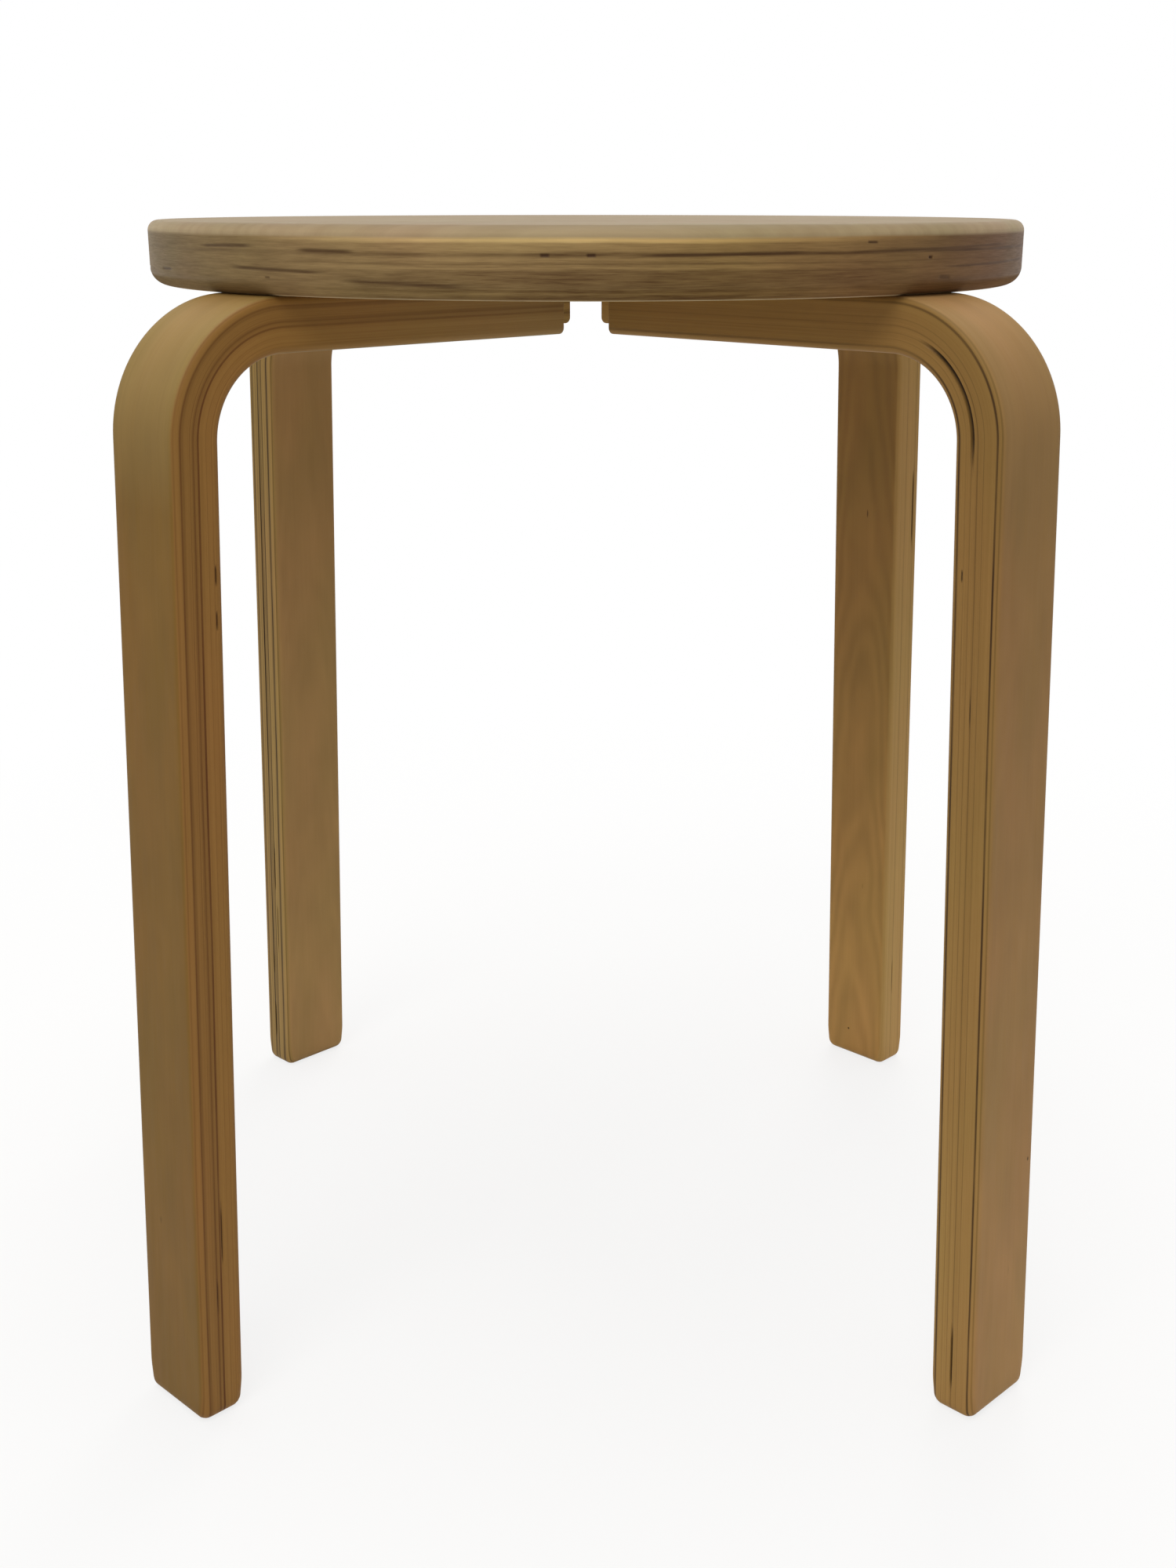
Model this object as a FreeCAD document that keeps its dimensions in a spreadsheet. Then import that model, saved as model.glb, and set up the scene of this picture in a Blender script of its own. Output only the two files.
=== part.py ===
import FreeCAD, Part
import math
import os

import Sketcher
from FreeCAD import Placement, Rotation, Vector

# A stacking stool: a round plywood seat on four bent plywood legs. Each leg is an L: its upper
# limb lies flat against the underside of the seat, and two screws, their heads sunk into the
# limb from below, hold it by threaded inserts let into the seat.
#
# Lengths are in millimetres and angles in degrees. The origin is on the floor at the stool's
# axis, +Z is up, +Y is the stool's back and the legs stand on the diagonals.

SIZES = {
    # Seat board
    "stool_height": 450.0,
    "seat_diameter": 350.0,
    "seat_thickness": 24.0,
    "seat_top_rounding": 4.0,
    "seat_bottom_rounding": 6.5,
    # Bent leg. Its reach is from the axis to the outer face where the bend ends, and the upper
    # limb of a rear leg comes a little nearer to the axis than that of a front leg.
    "leg_reach": 216.0,
    "leg_width": 38.0,
    "leg_thickness": 19.5,
    "leg_splay": 2.4,
    "bend_outer_radius": 49.0,
    "limb_end_distance": 31.0,
    "rear_limb_extra_length": 3.0,
    "leg_edge_chamfer": 1.5,
    # Screws
    "screw_to_limb_end": 31.0,
    "screw_to_bend": 35.0,
    "screw_diameter": 6.0,
    "screw_length": 30.0,
    "screw_head_diameter": 14.0,
    "screw_head_height": 2.6,
    "hex_key_width": 4.0,
    "hex_key_depth": 1.8,
    "head_sink": 0.6,
    "head_clearance": 0.5,
    "shank_clearance": 0.3,
    # Threaded inserts in the seat
    "insert_diameter": 10.0,
    "insert_length": 13.0,
    "thread_clearance": 0.05,
    "pilot_clearance": 0.05,
    "pilot_extra_depth": 2.0,
}

# The legs by name, with the direction of each limb seen from above, from +X towards +Y
LEG_DIRECTIONS = {
    "rear_right": 45,
    "rear_left": 135,
    "front_left": 225,
    "front_right": 315,
}

# How far from the axis each limb ends
LIMB_ENDS = {
    "rear_right": "rear_limb_end_distance",
    "rear_left": "rear_limb_end_distance",
    "front_left": "limb_end_distance",
    "front_right": "limb_end_distance",
}

# How far from the axis each limb's two screws stand
SCREW_DISTANCES = {
    "inner": "inner_screw_distance",
    "outer": "outer_screw_distance",
}

FIRST_DIRECTION = LEG_DIRECTIONS["rear_right"]

# What follows from those sizes, as the sheet's own formulas
FORMULAS = {
    "seat_radius": "=seat_diameter / 2",
    "seat_underside": "=stool_height - seat_thickness",
    "limb_underside": "=seat_underside - leg_thickness",
    "bend_inner_radius": "=bend_outer_radius - leg_thickness",
    "rear_limb_end_distance": "=limb_end_distance - rear_limb_extra_length",
    "head_bore_diameter": "=screw_head_diameter + 2 * head_clearance",
    "head_bore_depth": "=screw_head_height + head_sink",
    "screw_base": "=limb_underside + head_sink",
    "screw_reach_in_seat": "=screw_length + head_bore_depth - leg_thickness",
    "bend_start_distance": "=leg_reach - bend_outer_radius * cos(leg_splay * 1 deg)",
    "inner_screw_distance": "=limb_end_distance + screw_to_limb_end",
    "outer_screw_distance": "=bend_start_distance - screw_to_bend",
    "shank_bore_diameter": "=screw_diameter + 2 * shank_clearance",
    "insert_bore_diameter": "=screw_diameter + 2 * thread_clearance",
    "pilot_diameter": "=insert_diameter + 2 * pilot_clearance",
    "pilot_depth": "=max(insert_length, screw_reach_in_seat) + pilot_extra_depth",
}

NEAR = 0.001

document = FreeCAD.newDocument("stacking_stool")
sheet = document.addObject("Spreadsheet::Sheet", "Sizes")


def fill_sheet():
    """Write every driving size and formula into the sheet, each under its own alias."""
    rows = [(alias, str(value)) for alias, value in SIZES.items()]
    rows += list(FORMULAS.items())
    for row, (alias, content) in enumerate(rows, start=1):
        sheet.set("A%d" % row, alias)
        sheet.setAlias("B%d" % row, alias)
        sheet.set("B%d" % row, content)
    document.recompute()


def size(alias):
    """The present value of one size in the sheet."""
    return float(getattr(sheet, alias))


def new_body(name):
    """A body whose label is the name of its part."""
    body = document.addObject("PartDesign::Body", name)
    body.Label = name
    return body


def origin_feature(body, role):
    """One of the body's own origin planes or axes, such as XY_Plane or Z_Axis."""
    return next(item for item in body.Origin.OriginFeatures if item.Role == role)


def new_sketch(body, name, plane):
    """An empty sketch on one of the body's own origin planes."""
    sketch = body.newObject("Sketcher::SketchObject", body.Name + "_" + name)
    sketch.AttachmentSupport = (origin_feature(body, plane), [""])
    sketch.MapMode = "FlatFace"
    return sketch


def bind(sketch, name, constraint, expression):
    """Add a named dimension to a sketch and tie it to the sheet."""
    index = sketch.addConstraint(constraint)
    sketch.renameConstraint(index, name)
    sketch.setExpression("Constraints." + name, expression)


def add_outline(sketch, points):
    """Join the points with lines into a closed loop; returns the number of lines."""
    count = len(points)
    for start, end in zip(points, points[1:] + points[:1]):
        sketch.addGeometry(Part.LineSegment(start, end), False)
    for line in range(count):
        sketch.addConstraint(Sketcher.Constraint("Coincident", line, 2, (line + 1) % count, 1))
    return count


def add_circle(sketch, name, distance_alias, diameter_alias):
    """A circle centred on the sketch's X axis, at a distance and of a size from the sheet."""
    centre = Vector(size(distance_alias), 0, 0)
    circle = Part.Circle(centre, Vector(0, 0, 1), size(diameter_alias) / 2)
    index = sketch.addGeometry(circle, False)
    sketch.addConstraint(Sketcher.Constraint("PointOnObject", index, 3, -1))
    bind(sketch, name + "_distance",
         Sketcher.Constraint("DistanceX", -1, 1, index, 3, size(distance_alias)),
         "Sizes." + distance_alias)
    bind(sketch, name + "_diameter",
         Sketcher.Constraint("Diameter", index, size(diameter_alias)),
         "Sizes." + diameter_alias)


def edges_where(shape, test):
    """Names of the shape's edges whose ends and middle all pass the test."""
    names = []
    for number, edge in enumerate(shape.Edges, start=1):
        middle = edge.valueAt((edge.FirstParameter + edge.LastParameter) / 2)
        points = [vertex.Point for vertex in edge.Vertexes] + [middle]
        if all(test(point) for point in points):
            names.append("Edge%d" % number)
    return names


def dress_edges(body, kind, name, edges, size_name, alias):
    """Fillet or chamfer some edges of the body's last feature, as wide as a size in the sheet."""
    base = body.Tip
    dressing = body.newObject("PartDesign::" + kind, "%s_%s" % (body.Name, name))
    dressing.Base = (base, edges)
    dressing.setExpression(size_name, "Sizes." + alias)
    document.recompute()


def check_cut(body, volume_before, feature):
    """Stop if a cut has taken nothing away."""
    document.recompute()
    if body.Shape.Volume >= volume_before - NEAR:
        raise RuntimeError(feature.Name + " cuts nothing")


def bore(body, sketch, name, diameter, depth=None, mouth_diameter=None, mouth_depth=None):
    """Bore upwards from a sketch's circles, their sizes named by aliases in the sheet.

    With no depth the holes go right through. With a mouth's sizes each hole begins with a wider
    step that has a flat floor.
    """
    document.recompute()
    before = body.Shape.Volume
    hole = body.newObject("PartDesign::Hole", "%s_%s" % (body.Name, name))
    hole.Profile = sketch
    document.recompute()
    hole.Reversed = True
    hole.ThreadType = "None"
    hole.DrillPoint = "Flat"
    hole.setExpression("Diameter", "Sizes." + diameter)
    hole.DepthType = "Dimension" if depth else "ThroughAll"
    if depth:
        hole.setExpression("Depth", "Sizes." + depth)
    if mouth_diameter:
        hole.HoleCutType = "Counterbore"
        hole.HoleCutCustomValues = True
        hole.setExpression("HoleCutDiameter", "Sizes." + mouth_diameter)
        hole.setExpression("HoleCutDepth", "Sizes." + mouth_depth)
    check_cut(body, before, hole)
    return hole


def make_leg_profile(body, end_alias):
    """Sketch the L of a leg: a flat limb, a round bend and a straight, slightly splayed shank.

    X runs out from the stool's axis and Y runs up from the floor. The limb ends at the distance
    from the axis that the alias names.
    """
    sketch = new_sketch(body, "profile", "XZ_Plane")
    splay = size("leg_splay")
    outer, inner = size("bend_outer_radius"), size("bend_inner_radius")
    top, end = size("seat_underside"), size(end_alias)
    outwards = Rotation(Vector(0, 0, 1), splay).multVec(Vector(1, 0, 0))
    centre = Vector(size("leg_reach") - outer * outwards.x, top - outer, 0)
    down = Vector(outwards.y, -outwards.x, 0)
    outer_bend_end = centre + outwards * outer
    inner_bend_end = centre + outwards * inner
    outer_foot = outer_bend_end + down * (outer_bend_end.y / outwards.x)
    inner_foot = inner_bend_end + down * (inner_bend_end.y / outwards.x)
    outer_bend_start = centre + Vector(0, outer, 0)
    inner_bend_start = centre + Vector(0, inner, 0)
    limb_top = Vector(end, outer_bend_start.y, 0)
    limb_bottom = Vector(end, inner_bend_start.y, 0)

    def arc(radius):
        """The bend's arc of the given radius, from the shank up to the limb."""
        circle = Part.Circle(centre, Vector(0, 0, 1), radius)
        return Part.ArcOfCircle(circle, math.radians(splay), math.radians(90))

    top_line, outer_arc, outer_line, foot_line, inner_line, inner_arc, under_line, end_line = (
        sketch.addGeometry(
            [
                Part.LineSegment(limb_top, outer_bend_start),
                arc(outer),
                Part.LineSegment(outer_foot, outer_bend_end),
                Part.LineSegment(inner_foot, outer_foot),
                Part.LineSegment(inner_foot, inner_bend_end),
                arc(inner),
                Part.LineSegment(limb_bottom, inner_bend_start),
                Part.LineSegment(limb_bottom, limb_top),
            ],
            False,
        )
    )
    start, finish, middle = 1, 2, 3
    origin, x_axis = -1, -1
    for constraint in (
        ("Tangent", top_line, finish, outer_arc, finish),
        ("Tangent", outer_arc, start, outer_line, finish),
        ("Coincident", outer_line, start, foot_line, finish),
        ("Coincident", foot_line, start, inner_line, start),
        ("Tangent", inner_line, finish, inner_arc, start),
        ("Tangent", inner_arc, finish, under_line, finish),
        ("Coincident", under_line, start, end_line, start),
        ("Coincident", end_line, finish, top_line, start),
        ("Coincident", outer_arc, middle, inner_arc, middle),
        ("Parallel", outer_line, inner_line),
        ("Horizontal", top_line),
        ("Horizontal", under_line),
        ("Vertical", end_line),
        ("PointOnObject", inner_line, start, x_axis),
        ("PointOnObject", outer_line, start, x_axis),
    ):
        sketch.addConstraint(Sketcher.Constraint(*constraint))
    bind(sketch, "reach", Sketcher.Constraint("DistanceX", origin, 1, outer_arc, start,
                                              size("leg_reach")), "Sizes.leg_reach")
    bind(sketch, "limb_end", Sketcher.Constraint("DistanceX", origin, 1, top_line, start, end),
         "Sizes." + end_alias)
    bind(sketch, "limb_top", Sketcher.Constraint("DistanceY", origin, 1, top_line, start, top),
         "Sizes.seat_underside")
    bind(sketch, "outer_radius", Sketcher.Constraint("Radius", outer_arc, outer),
         "Sizes.bend_outer_radius")
    bind(sketch, "inner_radius", Sketcher.Constraint("Radius", inner_arc, inner),
         "Sizes.bend_inner_radius")
    bind(sketch, "lean", Sketcher.Constraint("Angle", outer_line, math.radians(90 + splay)),
         "90 deg + Sizes.leg_splay * 1 deg")
    return sketch


def make_leg(place, direction):
    """One bent leg with eased edges and two stepped screw holes through its limb."""
    body = new_body("leg_" + place)
    profile = make_leg_profile(body, LIMB_ENDS[place])
    pad = body.newObject("PartDesign::Pad", body.Name + "_pad")
    pad.Profile = profile
    pad.SideType = "Symmetric"
    pad.setExpression("Length", "Sizes.leg_width")
    side = size("leg_width") / 2
    limb_end = size(LIMB_ENDS[place])

    document.recompute()
    edges = set()
    for on_eased_face in (
        lambda point: abs(abs(point.y) - side) < NEAR,
        lambda point: abs(point.x - limb_end) < NEAR,
        lambda point: abs(point.z) < NEAR,
    ):
        edges.update(edges_where(body.Shape, on_eased_face))
    dress_edges(body, "Chamfer", "eased_edges", sorted(edges), "Size", "leg_edge_chamfer")

    holes = new_sketch(body, "screw_places", "XY_Plane")
    holes.setExpression("AttachmentOffset.Base.z", "Sizes.limb_underside")
    for name, distance in SCREW_DISTANCES.items():
        add_circle(holes, name, distance, "shank_bore_diameter")
    bore(body, holes, "screw_holes", "shank_bore_diameter",
         mouth_diameter="head_bore_diameter", mouth_depth="head_bore_depth")
    body.Placement = Placement(Vector(), Rotation(Vector(0, 0, 1), direction))
    return body


def make_seat():
    """The round seat board with its rounded rim, bored from below for the eight inserts."""
    body = new_body("seat")
    sketch = new_sketch(body, "profile", "XZ_Plane")
    bottom, top, radius = size("seat_underside"), size("stool_height"), size("seat_radius")
    add_outline(sketch, [Vector(0, bottom, 0), Vector(radius, bottom, 0),
                         Vector(radius, top, 0), Vector(0, top, 0)])
    bottom_line, rim_line, top_line, axis_line = range(4)
    sketch.addConstraint(Sketcher.Constraint("Horizontal", bottom_line))
    sketch.addConstraint(Sketcher.Constraint("Vertical", rim_line))
    sketch.addConstraint(Sketcher.Constraint("Horizontal", top_line))
    sketch.addConstraint(Sketcher.Constraint("PointOnObject", axis_line, 1, -2))
    sketch.addConstraint(Sketcher.Constraint("PointOnObject", bottom_line, 1, -2))
    bind(sketch, "underside", Sketcher.Constraint("DistanceY", -1, 1, bottom_line, 1, bottom),
         "Sizes.seat_underside")
    bind(sketch, "thickness", Sketcher.Constraint("DistanceY", rim_line, 1, rim_line, 2,
                                                  top - bottom), "Sizes.seat_thickness")
    bind(sketch, "radius", Sketcher.Constraint("DistanceX", bottom_line, 1, bottom_line, 2,
                                               radius), "Sizes.seat_radius")
    board = body.newObject("PartDesign::Revolution", "seat_board")
    board.Profile = sketch
    board.ReferenceAxis = (sketch, ["V_Axis"])
    board.Angle = 360.0
    document.recompute()

    def rim_edge_at(height):
        """A test for the rim's edge at one height."""
        return lambda point: abs(point.z - height) < NEAR and point.x ** 2 + point.y ** 2 > 1

    for name, height in (("top_rounding", top), ("bottom_rounding", bottom)):
        rim_edge = edges_where(body.Shape, rim_edge_at(height))
        dress_edges(body, "Fillet", name, rim_edge, "Radius", "seat_" + name)

    holes = new_sketch(body, "insert_places", "XY_Plane")
    holes.AttachmentOffset = Placement(Vector(0, 0, bottom),
                                       Rotation(Vector(0, 0, 1), FIRST_DIRECTION))
    holes.setExpression("AttachmentOffset.Base.z", "Sizes.seat_underside")
    for name, distance in SCREW_DISTANCES.items():
        add_circle(holes, name, distance, "pilot_diameter")
    hole = bore(body, holes, "insert_holes", "pilot_diameter", depth="pilot_depth")
    pattern = body.newObject("PartDesign::PolarPattern", "seat_insert_hole_pattern")
    pattern.Originals = [hole]
    pattern.Axis = (origin_feature(body, "Z_Axis"), [""])
    pattern.Angle = 360.0
    pattern.Occurrences = len(LEG_DIRECTIONS)
    body.Tip = pattern
    return body


def add_disc_sketch(body, name, diameter):
    """A sketch of one circle about the body's own axis, its diameter a sheet formula."""
    sketch = new_sketch(body, name, "XY_Plane")
    circle = sketch.addGeometry(Part.Circle(Vector(), Vector(0, 0, 1), 1.0), False)
    sketch.addConstraint(Sketcher.Constraint("Coincident", circle, 3, -1, 1))
    bind(sketch, "diameter", Sketcher.Constraint("Diameter", circle, 2.0), diameter)
    return sketch


def pad_disc(body, name, diameter, height):
    """Pad a round step up from the body's base, its sizes sheet formulas."""
    sketch = add_disc_sketch(body, name + "_profile", diameter)
    pad = body.newObject("PartDesign::Pad", "%s_%s" % (body.Name, name))
    pad.Profile = sketch
    pad.setExpression("Length", height)
    document.recompute()


def cut_upwards(body, name, sketch, depth):
    """Cut a sketch's outline into the body from its base; a depth of None cuts through."""
    document.recompute()
    before = body.Shape.Volume
    pocket = body.newObject("PartDesign::Pocket", "%s_%s" % (body.Name, name))
    pocket.Profile = sketch
    pocket.Reversed = True
    pocket.Type = "ThroughAll" if depth is None else "Length"
    if depth is not None:
        pocket.setExpression("Length", depth)
    check_cut(body, before, pocket)


def add_hexagon_sketch(body, name, width):
    """A sketch of a regular hexagon about the body's axis, its width across flats a formula."""
    sketch = new_sketch(body, name, "XY_Plane")
    corners = [Rotation(Vector(0, 0, 1), 60 * turn).multVec(Vector(1, 0, 0)) for turn in range(6)]
    sides = add_outline(sketch, corners)
    circle = sketch.addGeometry(Part.Circle(Vector(), Vector(0, 0, 1), 1.0), True)
    sketch.addConstraint(Sketcher.Constraint("Coincident", circle, 3, -1, 1))
    sketch.addConstraint(Sketcher.Constraint("PointOnObject", 0, 1, -1))
    for side in range(sides):
        sketch.addConstraint(Sketcher.Constraint("PointOnObject", side, 1, circle))
        if side:
            sketch.addConstraint(Sketcher.Constraint("Equal", 0, side))
    bind(sketch, "across_corners", Sketcher.Constraint("Diameter", circle, 2.0),
         "%s / cos(30 deg)" % width)
    return sketch


def place_at_screw(body, direction, distance_alias, height):
    """Stand a piece on a screw's axis, turned with its leg, its base at a sheet formula."""
    body.Placement = Placement(Vector(), Rotation(Vector(0, 0, 1), direction))
    distance = "Sizes." + distance_alias
    body.setExpression("Placement.Base.x", "%s * cos(%g deg)" % (distance, direction))
    body.setExpression("Placement.Base.y", "%s * sin(%g deg)" % (distance, direction))
    body.setExpression("Placement.Base.z", height)


def make_screw(place, direction, position, distance_alias):
    """A machine screw, wide flat head down, with a hexagon socket in the head."""
    body = new_body("screw_%s_%s" % (place, position))
    pad_disc(body, "head", "Sizes.screw_head_diameter", "Sizes.screw_head_height")
    pad_disc(body, "shank", "Sizes.screw_diameter",
             "Sizes.screw_head_height + Sizes.screw_length")
    socket = add_hexagon_sketch(body, "socket_profile", "Sizes.hex_key_width")
    cut_upwards(body, "socket", socket, "Sizes.hex_key_depth")
    place_at_screw(body, direction, distance_alias, "Sizes.screw_base")
    return body


def make_insert(place, direction, position, distance_alias):
    """A threaded insert, a plain tube flush with the seat's underside."""
    body = new_body("insert_%s_%s" % (place, position))
    pad_disc(body, "barrel", "Sizes.insert_diameter", "Sizes.insert_length")
    thread = add_disc_sketch(body, "thread_profile", "Sizes.insert_bore_diameter")
    cut_upwards(body, "thread", thread, None)
    place_at_screw(body, direction, distance_alias, "Sizes.seat_underside")
    return body


def check_parts(parts):
    """Stop if any object failed to build or any part has no valid solid."""
    for item in document.Objects:
        if "Invalid" in item.State or "Error" in item.State:
            raise RuntimeError("%s did not build: %s" % (item.Name, item.State))
    for body in parts:
        shape = body.Shape
        if shape.isNull() or not shape.isValid() or len(shape.Solids) != 1:
            raise RuntimeError(body.Label + " is not one valid solid")


def write_parts(parts):
    """Write each part's solid to a file of its own and list its volume and height."""
    os.makedirs("parts", exist_ok=True)
    for body in parts:
        body.Shape.exportStep("parts/%s.step" % body.Label)
        box = body.Shape.optimalBoundingBox()
        print("%-26s %10.1f mm3, from %7.2f to %7.2f mm high"
              % (body.Label, body.Shape.Volume, box.ZMin, box.ZMax))


fill_sheet()
stool = [make_seat()]
for place, direction in LEG_DIRECTIONS.items():
    stool.append(make_leg(place, direction))
    for position, distance_alias in SCREW_DISTANCES.items():
        stool.append(make_screw(place, direction, position, distance_alias))
        stool.append(make_insert(place, direction, position, distance_alias))
document.recompute()
check_parts(stool)
write_parts(stool)
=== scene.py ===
"""Looks of a stacking stool: a round plywood seat on four bent plywood legs, screwed on from below.

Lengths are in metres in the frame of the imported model: the floor is at height 0, the seat's
middle is above the origin and the viewer looks along +Y.
"""

import logging
import math
from dataclasses import dataclass
from enum import Enum
from functools import reduce
from typing import Callable, Iterable, Sequence

import bmesh
import bpy
import numpy as np
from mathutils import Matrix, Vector

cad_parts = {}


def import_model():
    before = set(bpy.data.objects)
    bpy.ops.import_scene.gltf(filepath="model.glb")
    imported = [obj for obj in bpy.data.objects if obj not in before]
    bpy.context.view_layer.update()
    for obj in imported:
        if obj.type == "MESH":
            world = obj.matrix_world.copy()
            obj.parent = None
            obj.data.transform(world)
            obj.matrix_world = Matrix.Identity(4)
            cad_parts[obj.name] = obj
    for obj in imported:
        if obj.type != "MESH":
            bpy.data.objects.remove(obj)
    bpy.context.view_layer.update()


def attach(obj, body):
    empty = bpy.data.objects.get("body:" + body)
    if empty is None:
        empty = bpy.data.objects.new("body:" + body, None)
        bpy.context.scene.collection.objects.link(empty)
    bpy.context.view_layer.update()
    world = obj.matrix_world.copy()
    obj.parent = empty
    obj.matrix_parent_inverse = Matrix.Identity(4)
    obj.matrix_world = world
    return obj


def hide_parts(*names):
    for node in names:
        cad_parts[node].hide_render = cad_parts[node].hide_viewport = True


LOG = logging.getLogger("stool")
MILLIMETRE = 0.001
TOUCH = 1e-6
QUARTER_TURN = math.pi / 2
UP = np.array([0.0, 0.0, 1.0])
WHITE = (1.0, 1.0, 1.0, 1.0)

# Sizes that several pieces share
SEAT_TOP = 0.450
SEAT_THICKNESS = 0.024
SEAT_RADIUS = 0.175
LEG_THICKNESS = 0.0195
SCREW_DISTANCES = (0.062, 0.13204)
REAR_LIMB_END = 0.028

# Values that a mesh holds for its finish
PLACE_ATTRIBUTE = "place_in_stack"
# How open a split is, which sets its painted shade
SPLIT_ATTRIBUTE = "split"

Array = np.ndarray
Material = bpy.types.Material
Object = bpy.types.Object
Tree = bpy.types.NodeTree
Node = bpy.types.Node
Socket = bpy.types.NodeSocket
Colour = tuple[float, float, float, float]
Pair = tuple[float, float]
Triple = tuple[float, float, float]
Stops = tuple[tuple[float, ...], ...]


class Side(Enum):
    """The narrow face of a leg that shows its splits, seen from the middle of the stool."""

    LEFT = 1
    RIGHT = -1


class Turn(Enum):
    """The thread of a fastener: cut into the outside or into a bore."""

    OUTSIDE = 1
    INSIDE = -1


class Kind(Enum):
    """What a socket of a node group carries: these by their own names, and any other a number."""

    Place = "NodeSocketVector"
    Colour = "NodeSocketColor"


def srgb(red: int, green: int, blue: int) -> Colour:
    """Turn a screen colour, each part from 0 to 255, into linear light with full cover."""
    shares = np.array([red, green, blue]) / 255.0
    return (*np.where(shares <= 0.04045, shares / 12.92, ((shares + 0.055) / 1.055) ** 2.4).tolist(), 1.0)


def ease(value: Array) -> Array:
    """Go from 0 to 1 with a flat start and end, for values from 0 to 1: 3v^2 - 2v^3."""
    held = np.clip(value, 0.0, 1.0)
    return held * held * (3.0 - 2.0 * held)


def merged(values: Iterable[float], nearest: float) -> Array:
    """Sort values and drop each one that is nearer than nearest to the one kept before it.

    Args:
        values: the values to sort.
        nearest: the smallest step that is kept.

    Returns:
        The kept values in rising order, first and last among them.
    """
    rising = np.unique(np.asarray(list(values), float))
    kept = [rising[0]]
    for value in rising[1:-1]:
        if value - kept[-1] >= nearest and rising[-1] - value >= nearest:
            kept.append(value)
    return np.array([*kept, rising[-1]])


def joined(*parts: Sequence[Array | float]) -> Array:
    """Lay parts end to end along a list's columns; a number stands for a whole part of it."""
    return np.concatenate([np.stack(np.broadcast_arrays(*part)) for part in parts], axis=1)


def edge_loop(block: Array) -> Array:
    """Follow the edge of a block of grid points once round, from its first row by its last column."""
    return np.concatenate([block[0], block[1:-1, -1], block[-1, ::-1], block[-2:0:-1, 0]])


class Shell:
    """A closed surface, gathered from grids of points, with the values that its finish reads."""

    def __init__(self) -> None:
        """Start empty: a row is to hold a point, its place in the stack and its split."""
        self._rows = np.zeros((0, 7))
        self._faces: list[list[int]] = []

    def add(self, points: Array, places: Array | float = 0.0, splits: Array | float = 0.0) -> Array:
        """Add points in any grid.

        Args:
            points: points, three numbers in the last axis.
            places: for each point its place in the stack of veneers.
            splits: for each point how far a split opens there, 0 to 1.

        Returns:
            The numbers of the new points, in the grid's shape.
        """
        rows = np.zeros((*points.shape[:-1], 7))
        rows[..., :3], rows[..., 3:6], rows[..., 6] = points, places, splits
        first = len(self._rows)
        self._rows = np.concatenate([self._rows, rows.reshape(-1, 7)])
        return np.arange(first, len(self._rows)).reshape(points.shape[:-1])

    def skin(self, grid: Array, openings: Sequence[tuple[Array, Array]] = ()) -> None:
        """Put four-sided faces between the rows of a grid whose rows are closed loops.

        Args:
            grid: point numbers, rows by columns; the last column joins the first.
            openings: rows and columns of cells that stay open.
        """
        onward = np.roll(grid, -1, axis=1)
        quads = np.stack([grid[:-1], onward[:-1], onward[1:], grid[1:]], axis=-1)
        shown = np.ones(quads.shape[:2], bool)
        for rows, columns in openings:
            shown[np.ix_(rows, columns)] = False
        self._faces.extend(quads[shown].tolist())

    def cap(self, ring: Array, middle: Sequence[float], place: Array | float = 0.0) -> None:
        """Close a loop of points with triangles that meet at a new point in its middle."""
        centre = np.full_like(ring, self.add(np.array(middle), place))
        self._faces.extend(np.stack([ring, np.roll(ring, -1), centre], axis=-1).tolist())

    def sink(self, grid: Array, block: tuple[Array, Array], centre: Array, steps: Array,
             locate: Callable[[Array], Array] | None = None) -> Array:
        """Sink a round bore from below: its loops are centre + radius * flat direction + depth upwards.

        Args:
            grid: point numbers, rows by columns.
            block: the block of the grid that the bore opens; its loops' points lie in the flat
                directions of the block's edge.
            centre: where the bore's axis meets the face.
            steps: radius and depth of each loop, one row each.
            locate: gives the points' places in the stack.

        Returns:
            The point numbers of the last loop.
        """
        edge = edge_loop(grid[block])
        arm = (self._rows[edge, :3] - centre) * (1.0 - UP)
        flat = arm / np.linalg.norm(arm, axis=1, keepdims=True)
        rings = centre + steps[:, :1, None] * flat + steps[:, 1:, None] * UP
        numbers = self.add(rings, locate(rings) if locate else 0.0)
        self.skin(np.vstack([edge[None], numbers]))
        return numbers[-1]

    def build(self, name: str, material: Material) -> Object:
        """Make the object, with outward faces, soft shading and its values as attributes.

        Args:
            name: the object's name.
            material: its finish.

        Returns:
            The object, at the origin.
        """
        mesh = bpy.data.meshes.new(name)
        mesh.from_pydata(self._rows[:, :3].tolist(), [], self._faces)
        values = self._rows.astype(np.float32)
        place = mesh.attributes.new(PLACE_ATTRIBUTE, "FLOAT_VECTOR", "POINT")
        place.data.foreach_set("vector", values[:, 3:6].ravel())
        split = mesh.attributes.new(SPLIT_ATTRIBUTE, "FLOAT", "POINT")
        split.data.foreach_set("value", values[:, 6].ravel())
        work = bmesh.new()
        work.from_mesh(mesh)
        bmesh.ops.recalc_face_normals(work, faces=work.faces)
        work.to_mesh(mesh)
        work.free()
        mesh.polygons.foreach_set("use_smooth", np.ones(len(mesh.polygons), bool))
        mesh.set_sharp_from_angle(angle=math.radians(40))
        mesh.materials.append(material)
        mesh.update()
        piece = bpy.data.objects.new(name, mesh)
        bpy.context.scene.collection.objects.link(piece)
        return piece


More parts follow.
